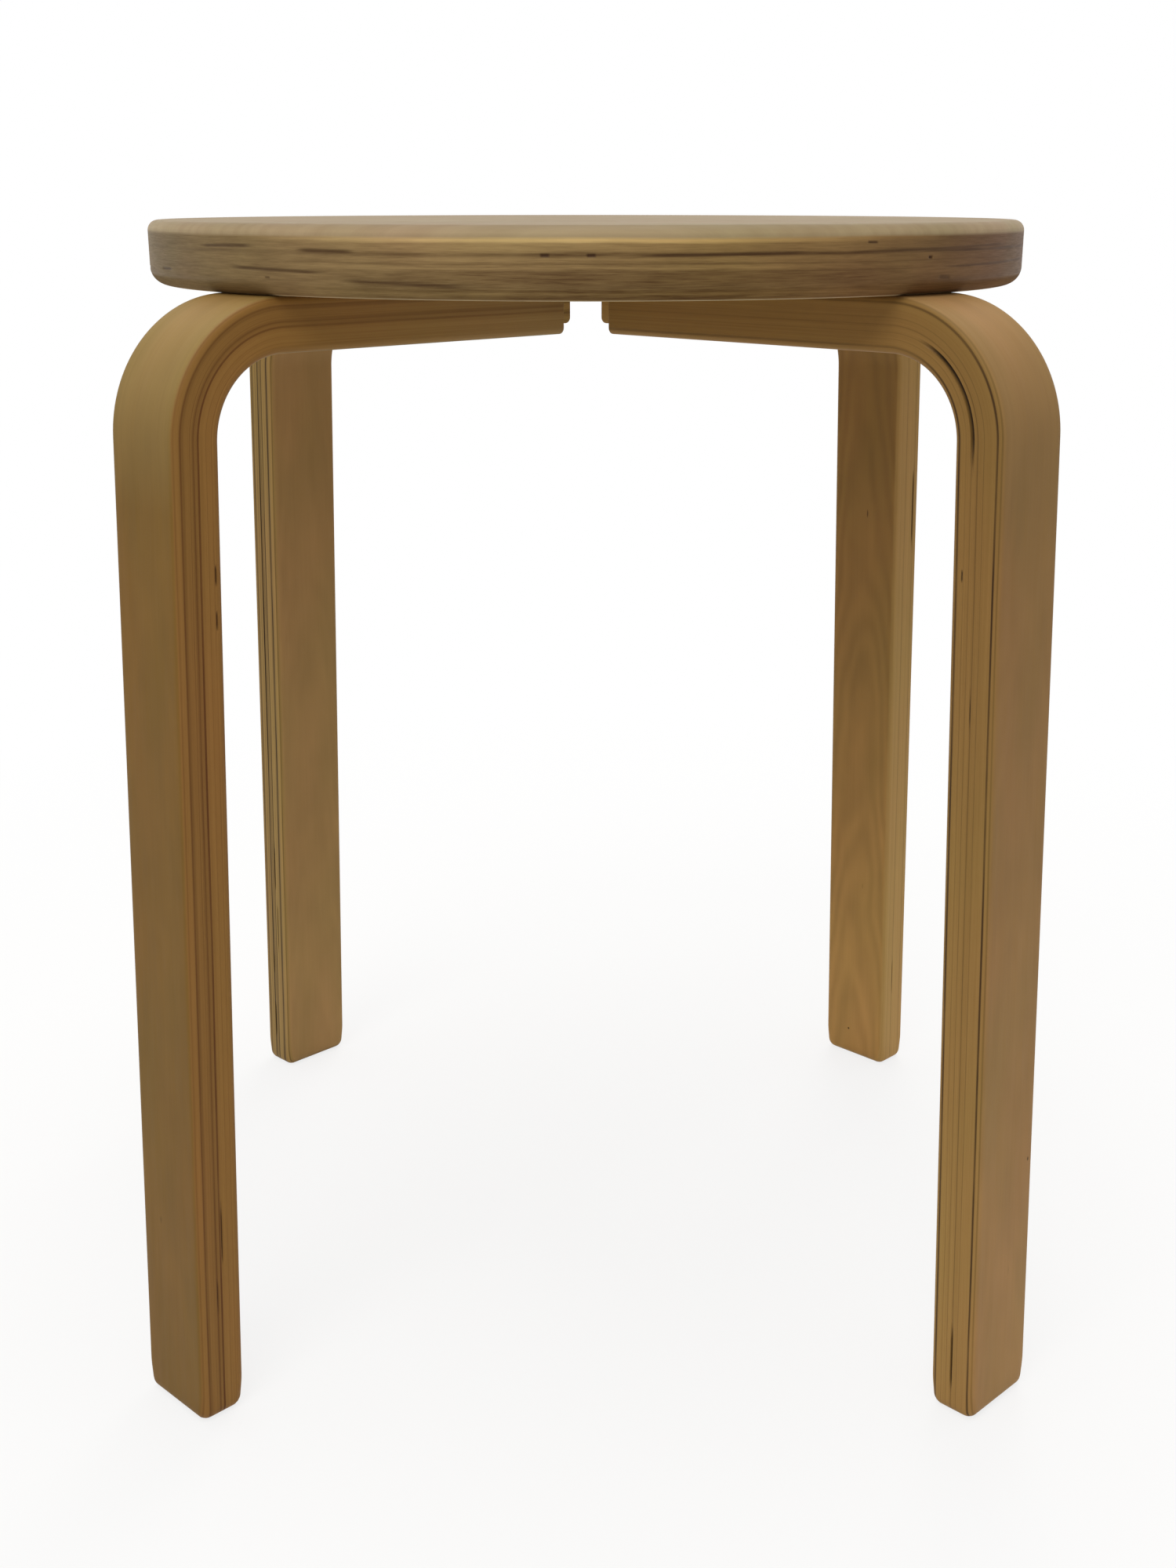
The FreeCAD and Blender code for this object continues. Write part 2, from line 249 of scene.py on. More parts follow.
def stand_in(shell: Shell, material: Material, node: str, name: str = "") -> Object:
    """Make a shell the piece that stands for one node of the model and rides with it.

    Args:
        shell: the piece's surface.
        material: its finish.
        node: the node that it replaces.
        name: its own name, where that isn't the node's.

    Returns:
        The finished piece.
    """
    piece = shell.build(name or node.capitalize(), material)
    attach(piece, "root")
    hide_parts(node)
    return piece


def value_sum(operation: str, turned: bool = False) -> Callable[..., "Value"]:
    """Make a method of Value that does one sum.

    Args:
        operation: the sum's name in a node.
        turned: whether the value comes last in it.

    Returns:
        The method.
    """
    def method(value: "Value", *others: "Term") -> "Value":
        """Do the sum in the value's own tree."""
        return value.graph.math(operation, *((*others, value) if turned else (value, *others)))

    return method


class Value:
    """An output in a node tree, with which sums are written as with a number."""

    __add__ = value_sum("ADD")
    __sub__ = value_sum("SUBTRACT")
    __rsub__ = value_sum("SUBTRACT", turned=True)
    __mul__ = value_sum("MULTIPLY")
    __truediv__ = value_sum("DIVIDE")
    __abs__ = value_sum("ABSOLUTE")

    def __init__(self, graph: "Graph", socket: Socket) -> None:
        """Hold the output and the graph that its sums go into."""
        self.graph = graph
        self.socket = socket

    def spread(self, low: float, high: float, to_low: float, to_high: float) -> "Value":
        """Carry the value from one range into another and hold it there."""
        return self.graph.value("ShaderNodeMapRange", self, low, high, to_low, to_high, clamp=True)

    def between(self, low: float, high: float) -> "Value":
        """Carry a noise's usual range, 0.3 to 0.7, into another range."""
        return self.spread(0.3, 0.7, low, high)

    def ramp(self, stops: Stops) -> "Value":
        """Look a colour up between stops.

        Args:
            stops: rising stops, each a place and then one grey or three parts of a colour.

        Returns:
            The colour.
        """
        made = self.graph.node("ShaderNodeValToRGB", self)
        elements = made.color_ramp.elements
        full = [(position, (*(levels * 3)[:3], 1.0)) for position, *levels in stops]
        for stop, (position, colour) in zip(elements, (full[0], full[-1])):
            stop.position = position
            stop.color = colour
        for position, colour in full[1:-1]:
            elements.new(position).color = colour
        return Value(self.graph, made.outputs[0])


Term = Value | float | Sequence[float]


class Graph:
    """Short ways to add and join the nodes of a material or a node group."""

    # Places of the colours among the sockets of a mix node
    mix_inputs: tuple[int, int] = (6, 7)
    mix_output: int = 2

    def __init__(self, tree: Tree) -> None:
        """Work on one node tree."""
        self.tree = tree

    def put(self, socket: Socket, term: Term) -> None:
        """Join a socket to an output, or set its own value.

        Args:
            socket: the input.
            term: the output, or a number or numbers.
        """
        if isinstance(term, Value):
            self.tree.links.new(term.socket, socket)
        else:
            socket.default_value = term

    def fill(self, node: Node, **terms: Term) -> None:
        """Fill a node's inputs by name, with underscores for spaces."""
        for name, term in terms.items():
            self.put(node.inputs[name.replace("_", " ")], term)

    def node(self, kind: str, *terms: Term, **settings: object) -> Node:
        """Add a node.

        Args:
            kind: the node's type.
            terms: what its first inputs take.
            settings: its own properties.

        Returns:
            The node.
        """
        made = self.tree.nodes.new(kind)
        for name, setting in settings.items():
            setattr(made, name, setting)
        for socket, term in zip(made.inputs, terms):
            self.put(socket, term)
        return made

    def value(self, kind: str, *terms: Term, output: int | str = 0, **settings: object) -> Value:
        """Add a node and give one of its outputs."""
        return Value(self, self.node(kind, *terms, **settings).outputs[output])

    def math(self, operation: str, *terms: Term) -> Value:
        """Do one sum on numbers."""
        return self.value("ShaderNodeMath", *terms, operation=operation)

    def vector(self, operation: str, *terms: Term) -> Value:
        """Do one sum on vectors."""
        return self.value("ShaderNodeVectorMath", *terms, operation=operation)

    def length(self, vector: Term) -> Value:
        """Measure a vector."""
        return self.value("ShaderNodeVectorMath", vector, output="Value", operation="LENGTH")

    def most(self, *terms: Term) -> Value:
        """Keep the greatest of several numbers."""
        return reduce(lambda first, second: self.math("MAXIMUM", first, second), terms)

    def parts(self, vector: Value) -> list[Value]:
        """Split a vector into its three numbers."""
        return [Value(self, output) for output in self.node("ShaderNodeSeparateXYZ", vector).outputs]

    def join(self, *terms: Term) -> Value:
        """Make a vector of three numbers."""
        return self.value("ShaderNodeCombineXYZ", *terms)

    def shade(self, colour: Term, factor: Value) -> Value:
        """Multiply all three parts of a colour by one number."""
        return self.vector("MULTIPLY", self.join(factor, factor, factor), colour)

    def noise(self, place: Term, waves: Triple, detail: float = 2.0, roughness: float = 0.6) -> Value:
        """Give smooth noise.

        Args:
            place: where it is read.
            waves: its waves for each unit along each axis.
            detail: how many finer layers it has.
            roughness: how strong they are.

        Returns:
            The noise, from 0 to 1.
        """
        stretched = self.vector("MULTIPLY", place, waves)
        made = self.node("ShaderNodeTexNoise", noise_dimensions="3D", normalize=True)
        self.fill(made, Vector=stretched, Scale=1.0, Detail=detail, Roughness=roughness)
        return Value(self, made.outputs[0])

    def drifted(self, value: Value, place: Value, waves: Triple, amount: float) -> Value:
        """Let a value wander from place to place, over a whole amount."""
        return value + (self.noise(place, waves, detail=1.0, roughness=0.5) - 0.5) * amount

    def mix(self, share: Term, first: Term, second: Term, blend: str = "MIX") -> Value:
        """Mix two colours.

        Args:
            share: how much of the second one, 0 to 1.
            first: a colour.
            second: another one.
            blend: how the second one is laid on.

        Returns:
            The mixed colour.
        """
        made = self.node("ShaderNodeMix", share, data_type="RGBA", blend_type=blend, clamp_factor=True)
        for place, colour in zip(self.mix_inputs, (first, second)):
            self.put(made.inputs[place], colour)
        return Value(self, made.outputs[self.mix_output])

    def bump(self, height: Value, strength: float, distance: float) -> Value:
        """Raise the surface.

        Args:
            height: the relief, 0 to 1.
            strength: how strongly it shows.
            distance: what 1 means, in metres.

        Returns:
            The surface's normal.
        """
        made = self.node("ShaderNodeBump")
        self.fill(made, Strength=strength, Distance=distance, Height=height)
        return Value(self, made.outputs[0])

    def spot(self) -> Value:
        """Give the point's own place in the stool."""
        return self.value("ShaderNodeTexCoord", output="Object")

    def group(self, tree: Tree, **terms: Term) -> list[Value]:
        """Place a node group.

        Args:
            tree: the group.
            terms: its inputs by name.

        Returns:
            Its outputs.
        """
        made = self.node("ShaderNodeGroup", node_tree=tree)
        self.fill(made, **terms)
        return [Value(self, output) for output in made.outputs]


def new_group(name: str, inputs: str, outputs: str) -> tuple[Graph, list[Value], Node]:
    """Start a shader node group.

    Args:
        name: the group's name.
        inputs: the names of its inputs.
        outputs: the names of its outputs.

    Returns:
        The group's graph, its inputs in order and its output node.
    """
    tree = bpy.data.node_groups.new(name, "ShaderNodeTree")
    for direction, titles in (("INPUT", inputs.split()), ("OUTPUT", outputs.split())):
        for title in titles:
            kind = Kind[title].value if title in Kind.__members__ else "NodeSocketFloat"
            tree.interface.new_socket(name=title, in_out=direction, socket_type=kind)
    graph = Graph(tree)
    entry = graph.node("NodeGroupInput")
    given = [Value(graph, entry.outputs[title]) for title in inputs.split()]
    return graph, given, graph.node("NodeGroupOutput")


def new_surface(name: str) -> tuple[Material, Graph, Node]:
    """Start a material with one surface shader.

    Args:
        name: the material's name.

    Returns:
        The material, its graph and its surface shader.
    """
    material = bpy.data.materials.new(name)
    material.use_nodes = True
    return material, Graph(material.node_tree), material.node_tree.nodes["Principled BSDF"]


class WoodGroups:
    """The node groups that every wooden finish shares."""

    # Waves of the coarse and the fine streaks for each length of a fibre, and the coarse ones' share
    coarse_waves: Triple = (1.0, 1.0, 1.0)
    fine_waves: Triple = (2.3, 3.1, 3.1)
    coarse_share: float = 0.65
    # Waves in a metre of what bends the rings, how far it does, and waves of the tint's patches
    bend_waves: Triple = (9.0, 26.0, 26.0)
    bend: float = 4.0
    patch_waves: Triple = (11.0, 38.0, 38.0)
    greener: Triple = (0.95, 1.02, 0.92)
    warmer: Triple = (1.07, 0.98, 1.02)

    def __init__(self) -> None:
        """Build the groups once."""
        self._fibre_group = self._fibres()
        self._figure_group = self._figure()
        self._tint_group = self._tint()

    def streaks(self, graph: Graph, place: Value, size: Triple) -> list[Value]:
        """Give streaks from -1 to 1 and the fibres' height, for a fibre's length, width and depth."""
        length, width, through = size
        return graph.group(self._fibre_group, Place=place, Length=length, Width=width, Through=through)

    def rings(self, graph: Graph, place: Value, size: Pair) -> Value:
        """Give growth rings from -1 to 1, for their step along the fibre and their arches' width."""
        ring, arch = size
        return graph.group(self._figure_group, Place=place, Ring=ring, Arch=arch)[0]

    def tinted(self, graph: Graph, place: Value, colour: Value, amount: float) -> Value:
        """Lay warmer and greener patches on a colour."""
        return graph.group(self._tint_group, Place=place, Colour=colour, Amount=amount)[0]

    def _fibres(self) -> Tree:
        """Draw streaks along the fibre: noise drawn out along the first axis, coarse and fine.

        Returns:
            The group; it puts out the streaks from -1 to 1 and the fine ones as a height.
        """
        graph, (place, *size), leave = new_group("Wood fibres", "Place Length Width Through", "Streak Height")
        drawn_out = graph.vector("DIVIDE", place, graph.join(*size))
        coarse = graph.noise(drawn_out, self.coarse_waves, detail=3.0)
        fine = graph.noise(drawn_out, self.fine_waves)
        both = coarse * self.coarse_share + fine * (1 - self.coarse_share)
        graph.fill(leave, Streak=both.between(-1.0, 1.0), Height=fine)
        return graph.tree

    def _figure(self) -> Tree:
        """Draw growth rings on a peeled face: waves of along minus the square of across, bent by noise.

        Returns:
            The group; it puts out the rings from -1 to 1.
        """
        graph, (place, ring, arch), leave = new_group("Veneer figure", "Place Ring Arch", "Figure")
        along, across, _ = graph.parts(place)
        side = across / arch
        phase = along / ring - side * side + graph.noise(place, self.bend_waves, roughness=0.5) * self.bend
        graph.fill(leave, Figure=graph.math("SINE", phase * math.tau))
        return graph.tree

    def _tint(self) -> Tree:
        """Lay patches of slightly warmer and slightly greener wood, long along the fibre.

        Returns:
            The group; it puts out the changed colour.
        """
        graph, (place, colour, amount), leave = new_group("Wood tint", "Place Colour Amount", "Colour")
        patch = graph.noise(place, self.patch_waves, detail=1.0, roughness=0.5)
        green, warm = (graph.mix(1.0, colour, (*gains, 1.0), "MULTIPLY")
                       for gains in (self.greener, self.warmer))
        graph.fill(leave, Colour=graph.mix(amount, colour, graph.mix(patch.between(0.0, 1.0), green, warm)))
        return graph.tree


@dataclass(frozen=True)
class Lacquer:
    """The last coat on every wood: the painted shade in open splits, and what fibres and glue lines do to it.
    """

    split_shade_colour: Colour
    gloss: float
    relief: float = 0.3
    relief_height: float = 0.00012
    fibre_relief: float = 0.5

    def coat(self, graph: Graph, shader: Node, wood: Value, roughness: Value, fibres: Value,
             lines: Value) -> None:
        """Fill the shader of a material.

        Args:
            graph: the material's graph.
            shader: its shader.
            wood: the wood's colour, which turns to painted shade in a split.
            roughness: the coat's roughness.
            fibres: the fibres' height.
            lines: the glue lines, which lie deeper.
        """
        # Painted shade in the open splits
        split = graph.value("ShaderNodeAttribute", output="Fac", attribute_name=SPLIT_ATTRIBUTE)
        normal = graph.bump(fibres * self.fibre_relief - lines, self.relief, self.relief_height)
        graph.fill(shader, Base_Color=graph.mix(split, wood, self.split_shade_colour), Roughness=roughness,
                   Specular_IOR_Level=self.gloss, Normal=normal)


@dataclass(frozen=True)
class GlueLine:
    """A dark line between two veneers, by its depth from the outer face and its width."""

    depth: float
    width: float
    darkness: float

    def drawn(self, depth: Value) -> Value:
        """Draw the line, full up to a quarter of its width from its depth and gone soon after."""
        return abs(depth - self.depth).spread(0.25 * self.width, 0.6 * self.width, self.darkness, 0.0)


@dataclass(frozen=True)
class Fleck:
    """A small dark mark on a broad face, by its place along and across the leg and its size."""

    along: float
    across: float
    length: float
    width: float
    darkness: float

    def drawn(self, graph: Graph, place: Value) -> Value:
        """Draw the mark, full within 0.4 of its half size and gone at its edge.

        Args:
            graph: the material's graph.
            place: the place in the stack.

        Returns:
            The mark, 0 to its darkness.
        """
        offset = graph.vector("SUBTRACT", place, (self.along, self.across, 0.0))
        scaled = graph.vector("MULTIPLY", offset, (2 / self.length, 2 / self.width, 0.0))
        return graph.length(scaled).spread(0.4, 1.0, self.darkness, 0.0)


@dataclass(frozen=True)
class Split:
    """A gap between veneers: its run, the level of its start in the stack, its width and its opening."""

    start: float
    end: float
    level: float
    width: float
    opening: float
    rise: float = 0.0


def open_splits(splits: Sequence[Split], along: Array, level: Array, where: Array, fade: float,
                dark_opening: float) -> tuple[Array, Array]:
    """Measure how far splits open a face.

    A split is a bowl across its width, 1 - (2 offset / width)^2, eased to nothing at both ends. A
    shallow one gets less painted shade.

    Args:
        splits: the splits.
        along: how far each point is along them.
        level: the level of each point in the stack.
        where: whether a split may reach the point.
        fade: the share of its run over which a split closes at each end.
        dark_opening: the opening from which a split's painted shade is full.

    Returns:
        The depth to cut at each point, and how open the split is from 0 to 1, which sets its painted shade.
    """
    cut = share = np.zeros(np.broadcast(along, level, where).shape)
    for split in splits:
        run = (along - split.start) / (split.end - split.start)
        across = (level - split.level - run * split.rise) / (0.5 * split.width)
        bowl = where * np.clip(1 - across ** 2, 0, 1) * ease(np.minimum(run, 1 - run) / fade)
        cut = np.maximum(cut, bowl * split.opening)
        share = np.maximum(share, bowl * min(1.0, split.opening / dark_opening))
    return cut, share


@dataclass(frozen=True)
class LegFinish:
    """Bent plywood: quiet outer veneers, the edges of the veneers between them and a dull lacquer."""

    name: str
    face: Colour
    edge_pale: Colour
    edge_dark: Colour
    glue: Colour
    veneer_tones: tuple[float, ...]
    glue_lines: tuple[GlueLine, ...]
    flecks: tuple[Fleck, ...] = ()
    figure: float = 0.015
    # The painted shade in open splits, and the lacquer's gloss
    lacquer: Lacquer = Lacquer(srgb(40, 26, 13), 0.15)
    thickness: float = LEG_THICKNESS
    # How far the colour brightens towards the floor, partly painted light out of the seat's shade and partly
    # the wood's own tone; the painted sheen on the bend; the painted light on the shaded limb; and where
    face_painted_light_and_tone: float = 0.0
    edge_painted_light_and_tone: float = 0.0
    low_painted_light_and_tone: Triple = (1.0, 1.05, 1.4)
    # Gains of the painted sheen on the bend, paler and less yellow
    bend_painted_sheen: Triple = (0.1, 0.13, 0.22)
    # Gains of the painted light on the limb in the seat's shadow
    limb_painted_light: Triple = (0.0, 0.0, 0.0)
    low_run: Pair = (0.20, 0.58)
    bend_middle: float = 0.17
    bend_run: Pair = (0.01, 0.05)
    limb_run: Pair = (0.02, 0.14)
    # Waves in a metre along, across and through the stack
    drift_waves: Triple = (7.0, 30.0, 120.0)
    mottle_waves: Triple = (22.0, 55.0, 55.0)
    break_waves: Triple = (26.0, 90.0, 700.0)
    drift: float = 0.0009
    # A fibre's size along, across and through the stack, and how strongly it shows
    face_fibre: Triple = (0.045, 0.0013, 0.004)
    face_streak: float = 0.035
    edge_fibre: Triple = (0.06, 0.004, 0.00045)
    edge_streak: float = 0.13
    # The broad faces' growth rings, their mottling, and the depth over which they give way
    rings: Pair = (0.045, 0.013)
    mottle: Pair = (0.94, 1.06)
    face_border: Pair = (0.0002, 0.0007)
    # Where in its band a veneer has its full tone
    veneer_body: Pair = (0.18, 0.82)
    # The noise that breaks the glue lines and what it leaves of them, and what the limb leaves
    glue_breaks: tuple[float, ...] = (0.3, 0.6, 0.6, 1.0)
    glue_run: Pair = (0.13, 0.18)
    limb_glue: float = 0.35
    tint: float = 0.45
    # Roughness of the dark streaks and of the pale ones
    roughness: Pair = (0.62, 0.50)

    def _tones(self) -> Stops:
        """Place two stops for each veneer, a little inside its edges."""
        count = len(self.veneer_tones)
        return tuple(((number + inset) / count, tone) for number, tone in enumerate(self.veneer_tones)
                     for inset in self.veneer_body)

    def _face_shade(self, graph: Graph, place: Value, on_face: Value, groups: WoodGroups) -> Value:
        """Lighten and darken the broad faces: fibres, growth rings, soft mottling and flecks.

        Args:
            graph: the material's graph.
            place: the place in the stack.
            on_face: how far a point belongs to a broad face, 0 to 1.
            groups: the shared wood groups.

        Returns:
            The factor for the face's colour.
        """
        streak, _ = groups.streaks(graph, place, self.face_fibre)
        figure = groups.rings(graph, place, self.rings)
        mottle = graph.noise(place, self.mottle_waves, roughness=0.55).between(*self.mottle)
        shade = streak * self.face_streak + figure * self.figure + mottle
        for fleck in self.flecks:
            shade = shade * (1.0 - fleck.drawn(graph, place) * on_face)
        return shade

    def build(self, groups: WoodGroups) -> Material:
        """Make the material.

        Args:
            groups: the shared wood groups.

        Returns:
            The material.
        """
        material, graph, shader = new_surface(self.name)
        place = graph.value("ShaderNodeAttribute", output="Vector", attribute_name=PLACE_ATTRIBUTE)
        along, _, depth = graph.parts(place)
        drifted = graph.drifted(depth, place, self.drift_waves, self.drift)
        on_face = graph.math("MINIMUM", depth, self.thickness - depth).spread(*self.face_border, 1.0, 0.0)
        streak, fine = groups.streaks(graph, place, self.edge_fibre)
        tone = (drifted / self.thickness).ramp(self._tones()) + streak * self.edge_streak
        face = graph.shade(self.face[:3], self._face_shade(graph, place, on_face, groups))
        wood = graph.mix(on_face, graph.mix(tone, self.edge_dark, self.edge_pale), face)
        # Painted light: brighter towards the floor out of the seat's shade (partly the wood's own tone), a
        # painted sheen on the bend and painted light on the shaded limb
        lifts = (
            (along.spread(*self.low_run, 0.0, 1.0) * on_face.spread(0.0, 1.0, self.edge_painted_light_and_tone, self.face_painted_light_and_tone),
             self.low_painted_light_and_tone),
            # Painted sheen on the bend
            (abs(along - self.bend_middle).spread(*self.bend_run, 1.0, 0.0) * on_face, self.bend_painted_sheen),
            # Painted light on the limb in the seat's shadow
            (along.spread(*self.limb_run, 1.0, 0.0), self.limb_painted_light))
        for share, amount in lifts:
            gains = [graph.math("MULTIPLY_ADD", share, gain, 1.0) for gain in amount]
            wood = graph.vector("MULTIPLY", wood, graph.join(*gains))
        tinted = groups.tinted(graph, place, wood, self.tint)
        broken = graph.noise(place, self.break_waves).spread(*self.glue_breaks)
        fainter_on_limb = along.spread(*self.glue_run, self.limb_glue, 1.0)
        lines = graph.most(*(line.drawn(drifted) for line in self.glue_lines)) * broken * fainter_on_limb
        self.lacquer.coat(graph, shader, graph.mix(lines, tinted, self.glue),
                          streak.spread(-1.0, 1.0, *self.roughness), fine, lines)
        return material


@dataclass(frozen=True)
class SeatFinish:
    """Flat plywood: a pale peeled face, and crossed plies round the rim."""

    name: str = "Board plywood"
    face_pale: Colour = srgb(138, 121, 93)
    face_dark: Colour = srgb(126, 108, 81)
    rim_pale: Colour = srgb(204, 174, 120)
    rim_dark: Colour = srgb(86, 62, 36)
    glue: Colour = srgb(66, 42, 20)
    # The painted shade in open splits, and the lacquer's gloss
    lacquer: Lacquer = Lacquer(srgb(62, 38, 18), 0.12)
    radius: float = SEAT_RADIUS
    top: float = SEAT_TOP
    thickness: float = SEAT_THICKNESS
    # Painted shade on the rim from left to right, darker at both ends and most on the right, and the painted
    # light of its full white
    rim_painted_shade: Stops = (
        (0.05, 0.50, 0.50, 0.50), (0.25, 0.79, 0.79, 0.78), (0.50, 0.86, 0.84, 0.79),
        (0.62, 0.78, 0.71, 0.61), (0.92, 0.42, 0.32, 0.29))
    rim_painted_light_gain: float = 1.25
    # Tones of the plies and darkness of the glue lines from the top down
    bands: Stops = (
        (0.0, 0.95), (0.205, 0.95), (0.24, 0.42), (0.33, 0.36), (0.36, 0.20), (0.40, 0.20), (0.44, 0.36),
        (0.505, 0.22), (0.56, 0.36), (0.60, 0.14), (0.70, 0.10), (0.84, 0.12), (0.87, 0.06), (0.90, 0.20),
        (0.93, 0.08), (1.0, 0.05))
    lines: Stops = (
        (0.0, 0.0), (0.35, 0.0), (0.368, 0.85), (0.392, 0.85), (0.41, 0.0), (0.49, 0.0), (0.505, 0.40),
        (0.52, 0.0), (0.595, 0.0), (0.61, 0.30), (0.625, 0.0), (0.835, 0.0), (0.85, 0.25), (0.865, 0.0),
        (0.94, 0.0), (0.96, 0.40), (1.0, 0.0))
    # Waves in a metre from side to side, from front to back and up
    drift_waves: Triple = (14.0, 14.0, 60.0)
    face_waves: Triple = (18.0, 30.0, 30.0)
    rim_waves: Triple = (26.0, 26.0, 160.0)
    break_waves: Triple = (24.0, 24.0, 300.0)
    drift: float = 0.0012
    # A fibre's size on the faces and on the rim, and how strongly it shows
    face_fibre: Triple = (0.09, 0.0022, 0.02)
    face_streak: float = 0.25
    rim_fibre: Triple = (0.012, 0.012, 0.0005)
    rim_streak: float = 0.12
    # The faces' growth rings, how strongly they show, and the mottling of faces and rim
    rings: Pair = (0.12, 0.04)
    figure: float = 0.15
    face_mottle: Pair = (0.2, 0.8)
    rim_mottle: Pair = (0.33, 0.47)
    middle_tone: float = 0.4
    # Depth over which the upper and the lower face give way to the rim
    face_border: Pair = (0.0035, 0.0045)
    under_border: Pair = (0.0002, 0.0006)
    # Painted light on the upper rounding against its shading, and down to what depth
    rounding_painted_light: float = 1.65
    rounding_painted_depth: float = 0.0024
    # The noise that breaks the glue lines and what it leaves of them, and what the left side leaves
    glue_breaks: tuple[float, ...] = (0.35, 0.62, 0.1, 1.0)
    glue_run: Pair = (-0.06, 0.03)
    left_glue: float = 0.4
    tint: float = 0.5
    # Roughness of the dark streaks and of the pale ones, and the height over which the gloss sets in
    roughness: Pair = (0.58, 0.46)
    dull_run: Pair = (0.003, 0.0065)

    def _face(self, graph: Graph, spot: Value, groups: WoodGroups) -> Value:
        """Colour the flat faces: fibres from side to side, wide arches and soft mottling.

        Args:
            graph: the material's graph.
            spot: the point's place.
            groups: the shared wood groups.

        Returns:
            The colour.
        """
        streak, _ = groups.streaks(graph, spot, self.face_fibre)
        figure = groups.rings(graph, spot, self.rings)
        mottle = graph.noise(spot, self.face_waves).between(*self.face_mottle)
        shade = streak * self.face_streak + figure * self.figure + mottle
        return graph.mix(shade, self.face_dark, self.face_pale)

    def build(self, groups: WoodGroups) -> Material:
        """Make the material.

        A ply looks pale where its grain runs along the rim and dark where the rim cuts across it, so
        the contrast between crossed plies is y^2 - x^2 over the radius squared: full at the front
        and back and none at the sides. The face's veneer runs over the upper rounding, where painted
        light lifts it against the rounding's shading.

        Args:
            groups: the shared wood groups.

        Returns:
            The material.
        """
        material, graph, shader = new_surface(self.name)
        spot = graph.spot()
        x, y, height = graph.parts(spot)
        depth = self.top - height
        drifted = graph.drifted(depth, spot, self.drift_waves, self.drift)
        level = drifted / self.thickness
        square_x, square_y = x * x, y * y
        crossing = graph.most(0.0, (square_y - square_x) / (square_y + square_x))
        streak, fine = groups.streaks(graph, spot, self.rim_fibre)
        mottle = graph.noise(spot, self.rim_waves).between(*self.rim_mottle)
        tone = (level.ramp(self.bands) - self.middle_tone) * crossing + mottle + streak * self.rim_streak
        # Painted light and shade along the rim from left to right
        rim_painted_shade = x.spread(-self.radius, self.radius, 0.0, 1.0).ramp(self.rim_painted_shade)
        plies = graph.vector("MULTIPLY", graph.mix(tone, self.rim_dark, self.rim_pale), rim_painted_shade)
        rim = graph.vector("MULTIPLY", plies, (self.rim_painted_light_gain,) * 3)
        broken = graph.noise(spot, self.break_waves).spread(*self.glue_breaks)
        lines = level.ramp(self.lines) * broken * x.spread(*self.glue_run, self.left_glue, 1.0)
        from_below = self.thickness - depth
        on_face = graph.most(drifted.spread(*self.face_border, 1.0, 0.0),
                             from_below.spread(*self.under_border, 1.0, 0.0))
        # Painted light over the upper rounding, against its own shading
        painted_rounding_light = depth.spread(0.0, self.rounding_painted_depth, 1.0, self.rounding_painted_light)
        face = graph.shade(self._face(graph, spot, groups), painted_rounding_light)
        both = graph.mix(on_face, graph.mix(lines, rim, self.glue), face)
        tinted = groups.tinted(graph, spot, both, self.tint)
        roughness = graph.most(streak.spread(-1.0, 1.0, *self.roughness),
                               from_below.spread(*self.dull_run, 1.0, 0.0))
        self.lacquer.coat(graph, shader, tinted, roughness, fine, lines)
        return material


